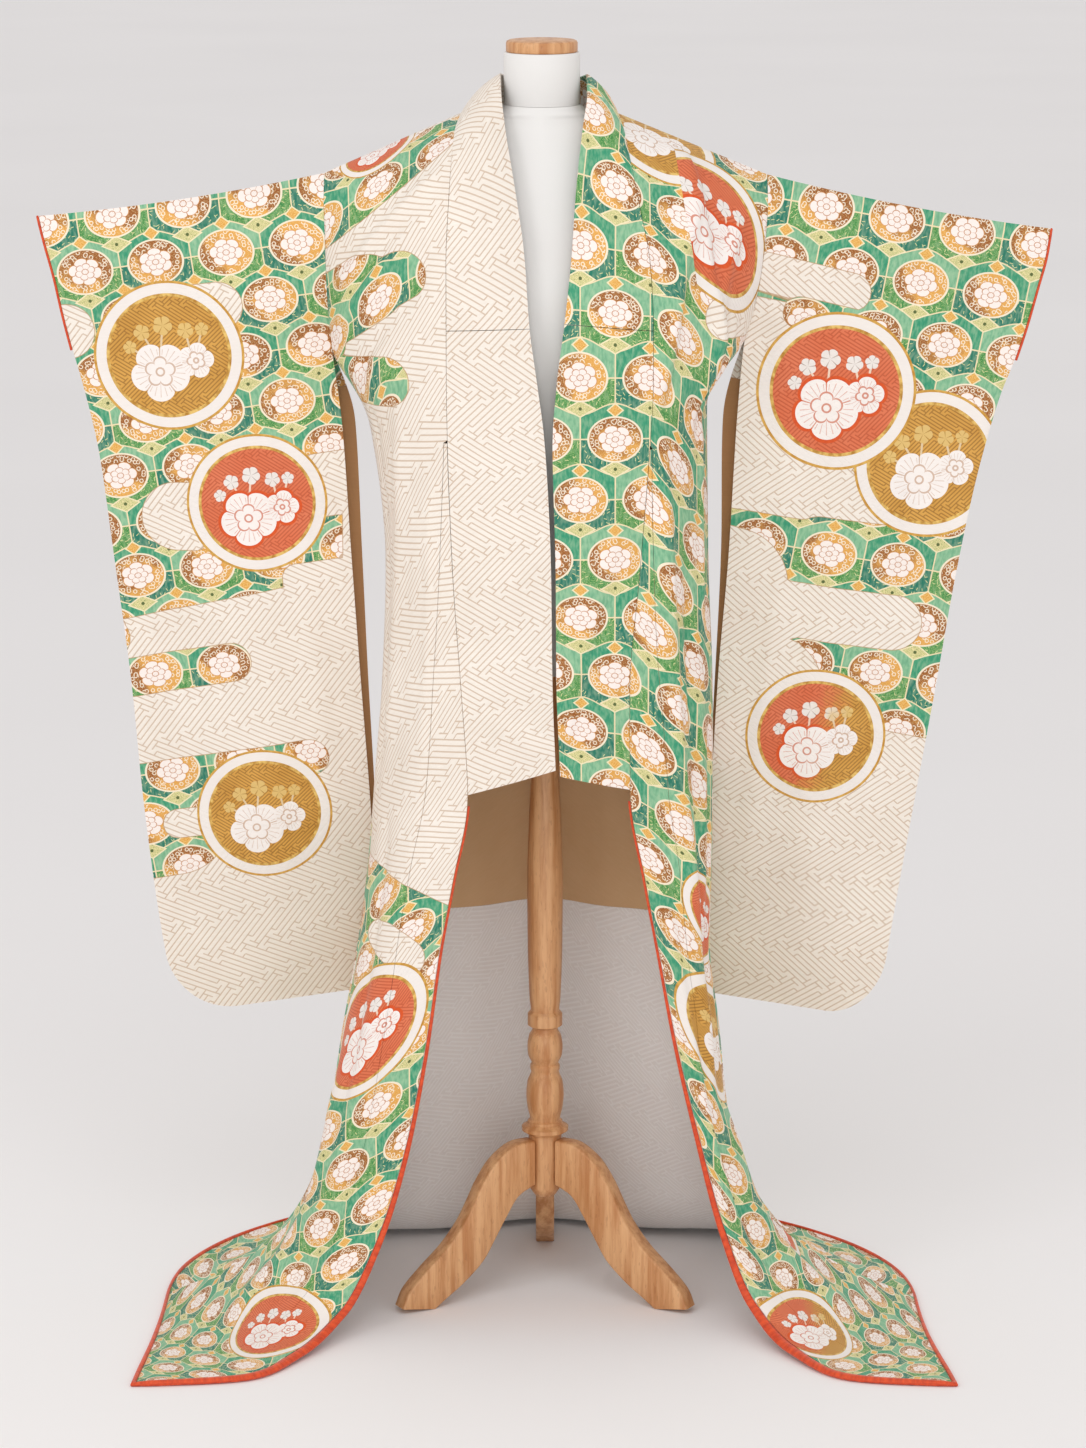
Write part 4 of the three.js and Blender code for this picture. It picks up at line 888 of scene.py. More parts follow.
def make_disc(tree, i):
    x, y, style = parts(tree, i["Local"])
    rho = length(x, y)
    scaled = tree.nodes.new("ShaderNodeVectorMath")
    scaled.operation = "MULTIPLY"
    tree.links.new(i["Local"], scaled.inputs[0])
    scaled.inputs[1].default_value = (DISC_RADIUS, DISC_RADIUS, 0.0)
    metres = scaled.outputs[0]
    # one noise both wobbles the edge between gold and vermilion and places the painted glints on the gilt
    # rings
    glint_and_blend_noise = noise(tree, metres, 120.0, 3.0)
    red = style.above(0.75)
    both = style.above(0.25) * style.below(0.75)
    blend = (y * 0.35 - x * 1.1 + 0.1 + (glint_and_blend_noise - 0.5) * 0.5).soft(-0.35, 0.35)
    redness = (red + both * blend).op("ADD", 0.0, clamp=True)
    ground = dye(tree, redness, "#dca64e", "#dd7048")
    ground = dye(
        tree, noise(tree, metres, 18.0, 2.0).soft(0.35, 0.7) * 0.55, ground,
        dye(tree, redness, "#bf862c", "#e58560")
    )
    fret = placed(tree, FRET, Vector=metres, Strip=0.0042, Line=0.0015)
    ground = dye(tree, fret["Line"] * 0.7, ground, dye(tree, redness, "#8a5a1e", "#b94a26"))
    mass = outline = veins = bud_mass = bud_vein = None
    merge = lambda a, b: b if a is None else a.most(b)
    for bx, by, radius, turn, bud in BLOSSOMS:
        dx, dy = x - bx, y - by
        d, theta = length(dx, dy), dy.op("ARCTAN2", dx) + turn
        wave = (theta * 2.5).op("COSINE")
        reach = (abs(wave).sqrt() * 0.26 + 0.74) * radius
        if bud:
            bud_mass = merge(bud_mass, d.below(reach))
            bud_vein = merge(bud_vein, abs(wave).below(0.22) * d.below(reach))
        else:
            mass = merge(mass, d.below(reach))
            outline = merge(outline, (d - reach).below(0.045))
            inner = (abs((theta * 2.5).op("SINE")).sqrt() * 0.2 + 0.3) * radius
            rays = abs((theta * 12.5).op("SINE")).below(0.22) * d.above(inner * 1.15) * d.below(reach * 0.86)
            lobes = abs(wave).below(0.07) * d.above(inner)
            heart = abs(d - inner).below(0.012).most(abs(d - radius * 0.13).below(0.012))
            veins = merge(veins, heart.most(rays * 0.7).most(lobes) * d.below(reach))
    twig = None
    for x0, y0, x1, y1 in TWIGS:
        ex, ey = x1 - x0, y1 - y0
        t = (((x - x0) * ex + (y - y0) * ey) / (ex * ex + ey * ey)).op("ADD", 0.0, clamp=True)
        twig = merge(twig, length(x - x0 - t * ex, y - y0 - t * ey).below(0.014))
    color = dye(tree, twig, ground, dye(tree, redness, "#e3cba4", "#f0d3bd"))
    color = dye(tree, bud_mass, color, dye(tree, redness, "#e2bf76", "#efe8e2"))
    color = dye(tree, bud_vein * 0.7, color, dye(tree, redness, "#a8761f", "#a8968a"))
    color = dye(
        tree, outline * redness, color, dye(tree, noise(tree, metres, 300.0, 2.0), "#c93f10", "#e9611f")
    )
    color = dye(tree, mass, color, "#f8f1ec")
    color = dye(tree, veins * 0.8, color, dye(tree, redness, "#c9a58a", "#cf6a44"))
    # painted glints: the gilt is painted darker and lighter gold in patches, standing in for the metal's
    # reflections
    gilt = dye(tree, glint_and_blend_noise.soft(0.3, 0.7), "#b57f2a", "#edc872")
    color = dye(tree, rho.above(FIELD_END), color, gilt)
    color = dye(tree, rho.above(GILT_END), color, "#f3ece6")
    color = dye(tree, rho.above(WHITE_END), color, dye(tree, 0.5, gilt, "#cf9534"))
    gilded = (rho.above(FIELD_END) * rho.below(GILT_END)).most(rho.above(WHITE_END))
    gold = gilded * 0.6 + rho.below(FIELD_END) * redness.inverse() * mass.inverse() * 0.2
    return {"Color": color, "Mask": rho.below(1.0), "Gold": gold * rho.below(1.0)}


DISC = effect(
    "Blossom disc", [("Local", "vector", None)],
    [("Color", "color"), ("Mask", "number"), ("Gold", "number")], make_disc
)


def make_grain(tree, i):
    ring = noise(tree, i["Vector"], 9.0, 4.0, 0.6, stretch=(9.0, 9.0, 0.6))
    pore = noise(tree, i["Vector"], 160.0, 2.0, 0.5, stretch=(5.0, 5.0, 0.35))
    fleck = noise(tree, i["Vector"], 300.0, 1.0, 0.5, stretch=(1.0, 1.0, 0.25))
    color = dye(tree, ring.soft(0.35, 0.68), i["Light"], i["Dark"])
    color = dye(tree, pore.soft(0.55, 0.75) * 0.4, color, i["Dark"])
    color = dye(tree, fleck.above(0.66) * 0.18, color, "#7d4a22")
    return {"Color": color, "Height": pore}


GRAIN = effect(
    "Beech grain",
    [("Vector", "vector", None), ("Light", "color", srgb("#dba877")), ("Dark", "color", srgb("#b97c4a"))],
    [("Color", "color"), ("Height", "number")], make_grain
)


# ---- materials ----
def new_material(name, **sockets):
    m = bpy.data.materials.new(name)
    m.use_nodes = True
    tree = m.node_tree
    shader = tree.nodes["Principled BSDF"]
    for label, v in sockets.items():
        shader.inputs[label.replace("_", " ")].default_value = v
    return m, tree, shader


def uv(tree, name="Cloth"):
    node = tree.nodes.new("ShaderNodeUVMap")
    node.uv_map = name
    return node.outputs[0]


def attribute(tree, name, output="Fac"):
    node = tree.nodes.new("ShaderNodeAttribute")
    node.attribute_name = name
    return node.outputs[output]


def raised(tree, shader, height, distance, strength=1.0):
    bump = tree.nodes.new("ShaderNodeBump")
    bump.inputs["Distance"].default_value, bump.inputs["Strength"].default_value = distance, strength
    link(tree, height, bump.inputs["Height"])
    tree.links.new(bump.outputs[0], shader.inputs["Normal"])


def dyed_silk(name, across, down, roundel):
    """The outer silk: ivory key fret, green lattice of roundels, discs over both."""
    m, tree, shader = new_material(name, Sheen_Weight=0.12, Sheen_Roughness=0.4, Specular_IOR_Level=0.35)
    here = uv(tree)
    weave = placed(tree, WEAVE, Vector=here)
    shade = weave["Shade"]
    fret = placed(tree, FRET, Vector=here, Strip=0.0068, Line=0.0016)
    line = fret["Line"]
    ivory = dye(tree, line * 0.75, dye(tree, shade, "#efe5d8", "#faf3ea"), "#c9ad92")
    lattice = placed(tree, LATTICE, Vector=here, Across=across, Down=down, Roundel=roundel)
    g = Thread(tree, attribute(tree, "Ground"))
    green = g.above(0.0)
    color = dye(tree, green, ivory, lattice["Color"])
    color = dye(tree, abs(g).below(0.0006) * 0.7, color, "#b98d5c")
    gold = green * lattice["Gold"]
    relief = green.inverse() * line * -0.6
    low, over = (parts(tree, attribute(tree, layer, "Vector")) for layer in ("Disc", "Disc over"))
    top = length(over[0], over[1]).below(1.0) * Thread(tree, attribute(tree, "Tuck")).below(0.0)
    local = joined(tree, *(a + top * (b - a) for a, b in zip(low, over)))
    disc = placed(tree, DISC, Local=local)
    mask = disc["Mask"]
    color = dye(tree, mask, color, disc["Color"])
    gold = gold * mask.inverse() + disc["Gold"]
    color = dye(tree, shade.soft(0.75, 0.3) * 0.08, color, "#7a5a3c")
    link(tree, color, shader.inputs["Base Color"])
    link(tree, 0.58 - gold * 0.25 + shade * 0.06, shader.inputs["Roughness"])
    link(tree, gold * 0.4, shader.inputs["Metallic"])
    raised(tree, shader, relief + weave["Height"] * 0.5, 0.0006, 0.6)
    return m


def plain_silk(name, light, dark, roughness=0.6, figure_sheen=None, flush=None):
    m, tree, shader = new_material(name, Sheen_Weight=0.1, Specular_IOR_Level=0.3)
    here = uv(tree)
    weave = placed(tree, WEAVE, Vector=here, Thread=0.001)
    shade = weave["Shade"]
    color, height = dye(tree, shade, dark, light), weave["Height"]
    rough = shade * 0.08 + roughness
    if figure_sheen:
        fret = placed(tree, FRET, Vector=here, Strip=0.0055, Line=0.0022)
        line = fret["Line"]
        # painted sheen: the figure's lines are painted lighter, where they are also made glossier and raised
        color = dye(tree, line * 0.5, color, figure_sheen)
        height, rough = height + line * 1.2, rough + line * -0.12
    if flush:
        color = dye(tree, Thread(tree, attribute(tree, "Flush")), color, flush)
    link(tree, color, shader.inputs["Base Color"])
    link(tree, rough, shader.inputs["Roughness"])
    raised(tree, shader, height, 0.0004, 0.5)
    return m


def padded_silk(name):
    m, tree, shader = new_material(name, Sheen_Weight=0.15, Specular_IOR_Level=0.4)
    here = uv(tree)
    pucker_and_hollow_shade = noise(tree, here, 55.0, 3.0, 0.6, stretch=(1.0, 3.0, 1.0))
    weave = placed(tree, WEAVE, Vector=here, Thread=0.001)
    # painted shade: the vermilion is darker in the hollows of the puckers and lighter on their crests, by the
    # same noise as the bump
    color = dye(tree, pucker_and_hollow_shade.soft(0.3, 0.7), "#c33a14", "#e5531f")
    link(tree, color, shader.inputs["Base Color"])
    link(tree, pucker_and_hollow_shade * 0.15 + 0.42, shader.inputs["Roughness"])
    raised(tree, shader, pucker_and_hollow_shade + weave["Height"] * 0.15, 0.0015, 0.6)
    return m


def form_cloth(name):
    m, tree, shader = new_material(name, Specular_IOR_Level=0.2)
    coords = tree.nodes.new("ShaderNodeTexCoord").outputs["Object"]
    knit = noise(tree, coords, 900.0, 1.0)
    soft = noise(tree, coords, 7.0, 3.0)
    link(tree, dye(tree, soft, "#e2e0dd", "#ecebe9"), shader.inputs["Base Color"])
    link(tree, knit * 0.1 + 0.78, shader.inputs["Roughness"])
    raised(tree, shader, knit, 0.0003, 0.4)
    return m


def beech(name):
    m, tree, shader = new_material(name, Coat_Weight=0.15, Coat_Roughness=0.25, Specular_IOR_Level=0.4)
    coords = tree.nodes.new("ShaderNodeTexCoord").outputs["Object"]
    grain = placed(tree, GRAIN, Vector=coords)
    link(tree, grain["Color"], shader.inputs["Base Color"])
    link(tree, grain["Height"] * 0.15 + 0.36, shader.inputs["Roughness"])
    raised(tree, shader, grain["Height"], 0.0003, 0.3)
    return m


SLEEVE_SILK = {
    "left": dyed_silk("Dyed silk, left sleeve", 0.0918, 0.067, 0.0285),
    "right": dyed_silk("Dyed silk, right sleeve", 0.0918, 0.0735, 0.0285)
}
BODY_SILK = dyed_silk("Dyed silk, body", 0.0880, 0.0770, 0.0285)
TAN_SILK = plain_silk("Tan lining", "#dfbb92", "#c9a070", 0.62)
BROWN_SILK = plain_silk("Sleeve facing", "#b98a5d", "#a2744a", 0.62)
WHITE_SILK = plain_silk(
    "Figured white lining", "#f3efec", "#e6e0db", 0.55, figure_sheen="#fdfbf9", flush="#e8703a"
)
EDGE_SILK = padded_silk("Vermilion padded edge")
FORM_CLOTH = form_cloth("White form cloth")
BEECH = beech("Varnished beech")


# ---- the robe ----
def across_panel(count):
    return np.linspace(0, 1, count)


def make_body(side):
    out, face = OUT[side], -OUT[side]
    cloth = lambda w, a: body(side, w, a)
    line = lambda w, a: body_base(side, w, a)
    front = even_rows(line, -HEM, -0.0001, STEP, keep=(-ARMPIT, -OKUMI_TIP))
    back = even_rows(line, 0.0001, HEM, STEP, keep=(NECK_ROW, ARMPIT))
    rows = np.concatenate([front[:-1], [0.0], back[1:]])
    columns = int(PANEL_ACROSS / STEP)
    share_from = lambda w: drape_row(side, np.array([abs(w)]))["ok"][0] if w < -OKUMI_TIP + 0.01 else 0.0
    shares = lambda w: share_from(w) + (1 - share_from(w)) * across_panel(columns)
    piece = Piece(f"body_panel_{side}", cloth, rows, shares, CLOTH, face=face, out=out,
                  centre=lambda W, A: (W >= NECK_ROW) & (A == 0),
                  edge_normal=lambda W, A: ((A == 1) & (np.abs(W) <= ARMPIT), arm_normal(side, W)))
    dress_body(side, piece)
    piece.done(f"body_{side}", SILK_SLOT[side], BODY_SILK, (0.32, 3.5), "draped", ("torso", "floor"))
    okumi_rows = front[front <= -OKUMI_TIP + 1e-6]
    okumi_columns = across_panel(max(5, int(OKUMI_ACROSS / STEP)))
    okumi = Piece(
        f"overlap_panel_{side}", cloth, okumi_rows, lambda w: share_from(w) * okumi_columns, CLOTH,
        face=face, inset=0.4
    )
    dress_body(side, okumi)
    okumi.done(
        f"okumi_{side}", SILK_SLOT[side], BODY_SILK, (0.11, 1.5), "draped",
        ("body_panel_" + side, "floor"), area=0.075
    )


def where_on_cloth(side, face, x, z):
    """The cloth's own coordinates at a point seen from the front or the back."""
    if (side, face) not in _charts:
        W, A = np.meshgrid(
            np.linspace(0.02, HEM, 380) * (-1 if face == "front" else 1), np.linspace(0, 1, 60),
            indexing="ij"
        )
        _charts[side, face] = (body_base(side, W, A), *cloth_chart(side, W, A))
    P, u, v = _charts[side, face]
    k = np.unravel_index(np.argmin((P[..., 0] - x) ** 2 + (P[..., 2] - z) ** 2), u.shape)
    return u[k] / MM, v[k] / MM


def dress_body(side, piece):
    """Ground colour and discs of the body, placed where they are seen from the front or the back."""
    u, v = cloth_chart(side, piece.W, piece.A)
    piece.chart(u, v)
    x, z = piece.P[..., 0], piece.P[..., 2]
    front, back = (ground_of((side, face), x, z) for face in ("front", "back"))
    piece.point_value("Ground", np.where(piece.W < 0, front, back))
    table = []
    for face in ("front", "back"):
        for middle_x, middle_z, radius, style, layer in DISCS[side, face]:
            cu, cv = where_on_cloth(side, face, middle_x, middle_z)
            table.append((cu + (BACK_AWAY if face == "back" else 0), cv, radius, style, layer))
    tuck = None
    if side == "right":
        heights, places = [p[1] for p in TUCK_LINE], [p[0] for p in TUCK_LINE]
        tuck = np.where(piece.W < 0, (np.interp(z, heights, places) - x) * MM, SHOWN)
    piece.discs(table, u / MM + np.where(piece.W > 0, BACK_AWAY, 0), v / MM, tuck)


def make_collar(side):
    face, out = -OUT[side], OUT[side]
    band = lambda w, a: collar(side, w, a)
    run = 0.0
    at_back = lambda W, A: W == -NECK_ROW
    for name, node, start, end, centre, flat in (
        ("over_collar", "over_collar", -NECK_ROW, TOMOERI, at_back, (0.09, 0.49)),
        ("collar_band", "collar", TOMOERI, COLLAR_END, None, (0.12, 0.60)),
    ):
        rows = even_rows(band, start, end, STEP, keep=(0,) if start < 0 else ())
        piece = Piece(
            f"{name}_{side}", band, rows, lambda w: across_panel(int(COLLAR_ACROSS / STEP)), COLLAR,
            face=face, inset=0.45, centre=centre, out=out
        )
        row = drape_row(side, np.abs(piece.W))
        width = np.linalg.norm(collar_base(side, piece.W, 1.0) - collar_base(side, piece.W, 0.0), axis=-1)
        down = running_length(piece.P[:, 0], 0)[:, None]
        u = (np.abs(np.where(piece.W < 0, row["bx"], row["fx"])) - piece.A * width) * out * MM
        v = -(run + down + 0 * piece.A) * MM
        run += down[-1, 0]
        piece.chart(u, v)
        piece.point_value("Ground", np.full(piece.W.shape, -0.05 if side == "left" else 0.05))
        piece.discs(DISCS[side, "collar"], u / MM, v / MM)
        piece.done(f"{node}_{side}", SILK_SLOT[side], BODY_SILK, flat, "draped", ("body_panel_" + side,))


SLEEVE_ORIGIN = {"left": (-406, 1394), "right": (480, 1354)}  # the middle of one roundel


def make_sleeve(side):
    face = -OUT[side]
    cloth = lambda w, u: sleeve(side, w, u)
    half = even_rows(cloth, 0.0001, SLEEVE_END, STEP, keep=(ARMPIT,))
    half = np.union1d(np.round(half, 5), [11.85, 11.93, 11.97])
    rows = np.concatenate([-half[::-1][:-1], [0.0], half[1:]])
    columns = np.union1d(across_panel(int(SLEEVE_ACROSS / STEP)), [0.97, 0.985, 0.993, 1.0])
    piece = Piece(f"sleeve_{side}", cloth, rows, lambda w: columns, CLOTH, face=face,
                  edge_normal=lambda W, U: ((U == 0) & (np.abs(W) <= ARMPIT), arm_normal(side, W)))
    x, z = piece.P[..., 0], piece.P[..., 2]
    t, (ox, oz) = SLEEVE_TILT[side], SLEEVE_ORIGIN[side]
    u, v = (x - ox) * math.cos(t) + (z - oz) * math.sin(t), (z - oz) * math.cos(t) - (x - ox) * math.sin(t)
    piece.chart(u * MM, v * MM)
    piece.point_value("Ground", ground_of((side, "sleeve"), x, z))
    piece.discs(DISCS[side, "sleeve"], x, z)
    piece.done(
        f"sleeve_{side}", "silk_ivory", SLEEVE_SILK[side], (0.36, 2.2), "hung", ("body_panel_" + side,)
    )
    strip = even_rows(cloth, 6.6, 11.3, STEP)
    facing = Piece(
        f"sleeve_facing_{side}", cloth, strip, lambda w: np.linspace(0, 0.12, 5), LINING, face=face,
        shift=-BACKING
    )
    facing.chart(facing.A * 0.3, facing.P[..., 2] * MM)
    facing.done(
        f"sleeve_lining_{side}", "lining_brown", BROWN_SILK, (0.045, 0.74), "hung", (f"sleeve_{side}",)
    )


def make_lining(side):
    face, out = -OUT[side], OUT[side]

    def shell(w, c):
        w, c = np.broadcast_arrays(np.asarray(w, float), np.asarray(c, float))
        return np.where(
            (c <= 1)[..., None], body(side, -w, np.minimum(c, 1.01)),
            body(side, w, 2 - np.maximum(c, 0.99))
        )

    once = across_panel(int(PANEL_ACROSS / STEP))
    columns = np.concatenate([once, once[1:] + 1])
    for name, node, start, end, silk, slot, flat in (
        ("upper_lining", "lining_upper", TAN_TOP, TAN_END, TAN_SILK, "lining_tan", (0.52, 0.52)),
        ("lower_lining", "lining_lower", TAN_END, HEM, WHITE_SILK, "lining_white", (0.60, 0.62))
    ):
        rows = even_rows(shell, start, end, STEP)
        piece = Piece(
            f"{name}_{side}", shell, rows, lambda w: columns, LINING, face=-face, out=out, shift=-BACKING,
            centre=lambda W, A: A == 2
        )
        wrap = piece.A > 1
        fu, fv = cloth_chart(side, -piece.W, np.minimum(piece.A, 1.0))
        bu, bv = cloth_chart(side, piece.W, np.clip(2 - piece.A, 0, 1))
        piece.chart(np.where(wrap, bu + out * 0.5, fu), np.where(wrap, bv, fv))
        if silk is WHITE_SILK:
            span = running_length(piece.P, 1)
            reach = 75 if side == "right" else 30
            depth = 0.85 if side == "right" else 0.4
            start_in = np.clip((piece.W - TAN_END) / 1.5, 0, 1)
            piece.point_value("Flush", np.clip(1 - span / reach, 0, 1) ** 1.6 * start_in * depth)
        piece.done(f"{node}_{side}", slot, silk, flat, "hung", (f"body_panel_{side}",))


# ---- padded edges ----
def swept_edge(name, stations, around=12):
    """A rod through (centre, out, up, width, height) stations, in mm."""
    points, uvs = [], []
    run = 0.0
    for k, (c, o, up, w, h) in enumerate(stations):
        if k:
            run += np.linalg.norm(c - stations[k - 1][0])
        for j in range(around):
            t = 2 * math.pi * (j + 0.5) / around
            points.append(c + o * w * math.cos(t) + up * h * math.sin(t))
            uvs.append((j / around * 0.03, run * MM))
    n = len(stations)
    faces = []
    for k in range(n - 1):
        for j in range(around):
            a, b = k * around + j, k * around + (j + 1) % around
            faces.append((a, b, b + around, a + around))
    half = around // 2
    for base, flip in ((0, True), ((n - 1) * around, False)):
        for j in range(half - 1):
            quad = [base + j, base + j + 1, base + around - 2 - j, base + around - 1 - j]
            faces.append(tuple(quad if flip else quad[::-1]))
    pts, f = np.array(points), np.array(faces)
    f = outward(pts, f)
    mesh = mesh_of(name, pts * MM, f, sharp=70)
    layer = mesh.uv_layers.new(name="Cloth")
    layer.data.foreach_set("uv", np.array(uvs, np.float32)[f.ravel()].ravel())
    return mesh


def make_hem_roll(side):
    face, out = -OUT[side], OUT[side]

    def shell(w, c):
        w, c = np.asarray([w], float), np.asarray([c], float)
        return (body(side, -w, np.minimum(c, 1.01)) if c[0] <= 1 else body(side, w, 2 - c))[0]

    def normal(w, c):
        along, cross = shell(w + 0.02, c) - shell(w - 0.02, c), shell(w, c + 0.01) - shell(w, c - 0.01)
        return unit(np.cross(along, cross))

    stations = []

    def station(r, c, away, corner=1.0):
        up = normal(r, c) * -face
        low = min(1, max(0, (r - COLLAR_END) / (HEM - 2 - COLLAR_END))) ** 2
        p = shell(r, c)
        o = p - away
        o = unit(o - up * np.dot(o, up))
        at_hem = 1 if c > 0 or r == HEM else max(0, r - HEM + 1) ** 2
        full = ROLL_FLOOR - (ROLL_FLOOR - ROLL_HEM) * at_hem
        width = ROLL_TOP + (full - ROLL_TOP) * low
        height = min(width, ROLL_TOP + (4 - ROLL_TOP) * low)
        centre = p + o * (SEAM + width * corner) + up * (0.15 - BACKING / 2)
        if c == 2:
            centre[0], o = out * SEAM / 2, np.array([0.0, 1.0, 0.0])
        over = np.array([0.0, 0.0, 1.0]) if r > HEM - 1.6 else up
        centre[2] = max(centre[2], math.hypot(o[2] * width * corner, over[2] * height))
        stations.append((centre, o, over, width * corner, height))

    for r in np.arange(COLLAR_END + ROLL_STEP, HEM - 0.05, ROLL_STEP):
        station(r, 0.0, shell(r, 0.05))
    station(HEM, 0.0, shell(HEM - 0.4, 0.12), 1.3)
    for c in np.linspace(0, 2, HEM_STATIONS)[1:]:
        station(HEM, float(c), shell(HEM - 0.1, float(c)))
    o = bpy.data.objects.new(f"padded_hem_{side}", swept_edge(f"padded_hem_{side}", stations))
    finish_piece(o, f"hem_roll_{side}", "padded_edge", EDGE_SILK)


def make_cuff_roll(side):
    stations = []
    for w in np.linspace(-WRIST, WRIST, CUFF_STATIONS):
        at = lambda u: sleeve(side, np.array([w]), np.array([u]))[0]
        p = at(1.0)
        o = (p - at(0.97)) * (1, 0, 1)
        o = unit(o)
        lean = min(1.0, abs(w) / 0.6)
        up = unit(np.array([0.0, math.copysign(lean, w) if w else 0.0, 1 - lean + 1e-6]))
        stations.append((p + o * (SEAM + CUFF_ROLL), o, up, CUFF_ROLL, CUFF_ROLL))
    o = bpy.data.objects.new(f"wrist_edge_{side}", swept_edge(f"wrist_edge_{side}", stations, 10))
    finish_piece(o, f"cuff_roll_{side}", "padded_edge", EDGE_SILK)


# ---- dress form and stand ----
# Columns: z x y half_width half_depth fullness.
TORSO = [
    (858, 0, 2, 158, 104, 2.2), (880, 0, 2, 166, 110, 2.2), (960, 0, 0, 158, 104, 2.2),
    (1060, 0, 0, 132, 94, 2.1), (1160, 0, -4, 144, 102, 2.1), (1260, 0, -6, 162, 110, 2.1),
    (1340, 0, -6, 170, 108, 2.1), (1420, 0, -2, 180, 97, 2.0), (1470, -4, 0, 184, 84, 1.8),
    (1500, -4, 0, 182, 73, 1.6), (1524, -4, 0, 176, 63, 1.4), (1542.8, -4.4, 0, 154.8, 57, 1.3),
    (1555.8, -5.5, 0, 123.9, 53, 1.3), (1565, -5, 0, 84, 51, 1.5), (1572, -4, 0, 60, 50, 2.0),
    (1580, -4, 0, 49, 49, 2.0),
]
NECK_X, NECK_RADIUS, NECK_BOTTOM, NECK_TOP = -4, 48.5, 1580.3, 1646
CAP_RADIUS, CAP_BOTTOM, CAP_TOP = 45.5, 1646.3, 1661
POLE = [
    (31, 218.3), (31, 223), (23, 228), (23, 231), (20, 233), (23.5, 250), (25, 267), (23.5, 285),
    (18.5, 300), (19.7, 302.5), (19.7, 308), (17.5, 310.5), (22.5, 322), (23.5, 334), (21, 350),
    (17, 357), (17, 360), (23, 364), (23, 379), (19, 384), (20.5, 400), (23, 480), (23.5, 560),
    (21.5, 640), (18.5, 710), (18.5, 857.7),
]
HUB = [(13, 127), (14, 127.6), (22, 140), (22, 212), (28, 216.5), (29, 218)]
LEG_UP = [
    (22.6, 208), (51, 206), (80, 188), (101, 161), (113, 139), (130, 110), (155, 81), (187, 54),
    (212, 30), (223, 8), (223, 0)
]
LEG_LOW = [(173, 0), (155, 12), (130, 28), (101, 53), (83, 80), (65, 109), (47, 134), (22.6, 146)]
LEG_WIDTH, LEG_BEVEL, LEG_EASE, LEG_RINGS = 25, 3.2, 0.9, 46
LEGS = {"leg_front_left": 210, "leg_front_right": -30, "leg_back": 90}


def capped(name, points, around, rows, sharp=40):
    """Closed mesh over rings of points, its ends filled by a middle point."""
    pts = np.concatenate([points.reshape(-1, 3), points[:1].mean(1), points[-1:].mean(1)])
    mesh = bpy.data.meshes.new(name)
    faces = []
    for i in range(rows - 1):
        for k in range(around):
            a, b = i * around + k, i * around + (k + 1) % around
            faces.append((a, b, b + around, a + around))
    low, top = rows * around, rows * around + 1
    for k in range(around):
        faces.append((low, (k + 1) % around, k))
        faces.append((top, (rows - 1) * around + k, (rows - 1) * around + (k + 1) % around))
    mesh.from_pydata((pts * MM).tolist(), [], faces)
    mesh.validate()
    mesh.shade_smooth()
    mesh.set_sharp_from_angle(angle=math.radians(sharp))
    return mesh


def stand_piece(name, mesh, node, slot, material):
    return finish_piece(bpy.data.objects.new(name, mesh), node, slot, material)


def make_form():
    n = len(TORSO) - 1
    at = np.linspace(0, n, 110)
    z, cx, cy, hw, hd, full = (curve([r[k] for r in TORSO], at)[:, None] for k in range(6))
    t = np.linspace(0, 2 * np.pi, 129)[None, :-1]
    c, s = np.cos(t), np.sin(t)
    radius = (np.abs(c / hw) ** full + np.abs(s / hd) ** full) ** (-1 / full)
    points = vec(cx + radius * c, cy + radius * s, z + 0 * c)
    stand_piece(
        "form_torso", capped("form_torso", points, 128, len(at), 60), "torso", "form_cloth", FORM_CLOTH
    )
    drum(
        "form_neck",
        [
            (0.0, NECK_BOTTOM), (NECK_RADIUS - 0.6, NECK_BOTTOM), (NECK_RADIUS, NECK_BOTTOM + 0.8),
            (NECK_RADIUS, NECK_TOP - 1.6), (NECK_RADIUS - 1.4, NECK_TOP)
        ],
        NECK_X, "neck", "form_cloth", FORM_CLOTH
    )
    drum(
        "neck_cap",
        [
            (0.0, CAP_BOTTOM), (CAP_RADIUS - 1, CAP_BOTTOM), (CAP_RADIUS, CAP_BOTTOM + 1.2),
            (CAP_RADIUS, CAP_TOP - 3.5), (CAP_RADIUS - 1.0, CAP_TOP - 1.2), (CAP_RADIUS - 3.5, CAP_TOP)
        ],
        NECK_X, "cap", "beech", BEECH
    )


def drum(name, profile, x, node, slot, material, around=96, sharp=40):
    prof = [(max(r, 0.01), z) for r, z in profile if r > 0]
    t = np.linspace(0, 2 * np.pi, around + 1)[None, :-1]
    r, z = np.array([p[0] for p in prof])[:, None], np.array([p[1] for p in prof])[:, None]
    points = vec(x + r * np.cos(t), r * np.sin(t), z + 0 * t)
    stand_piece(name, capped(name, points, around, len(prof), sharp), node, slot, material)


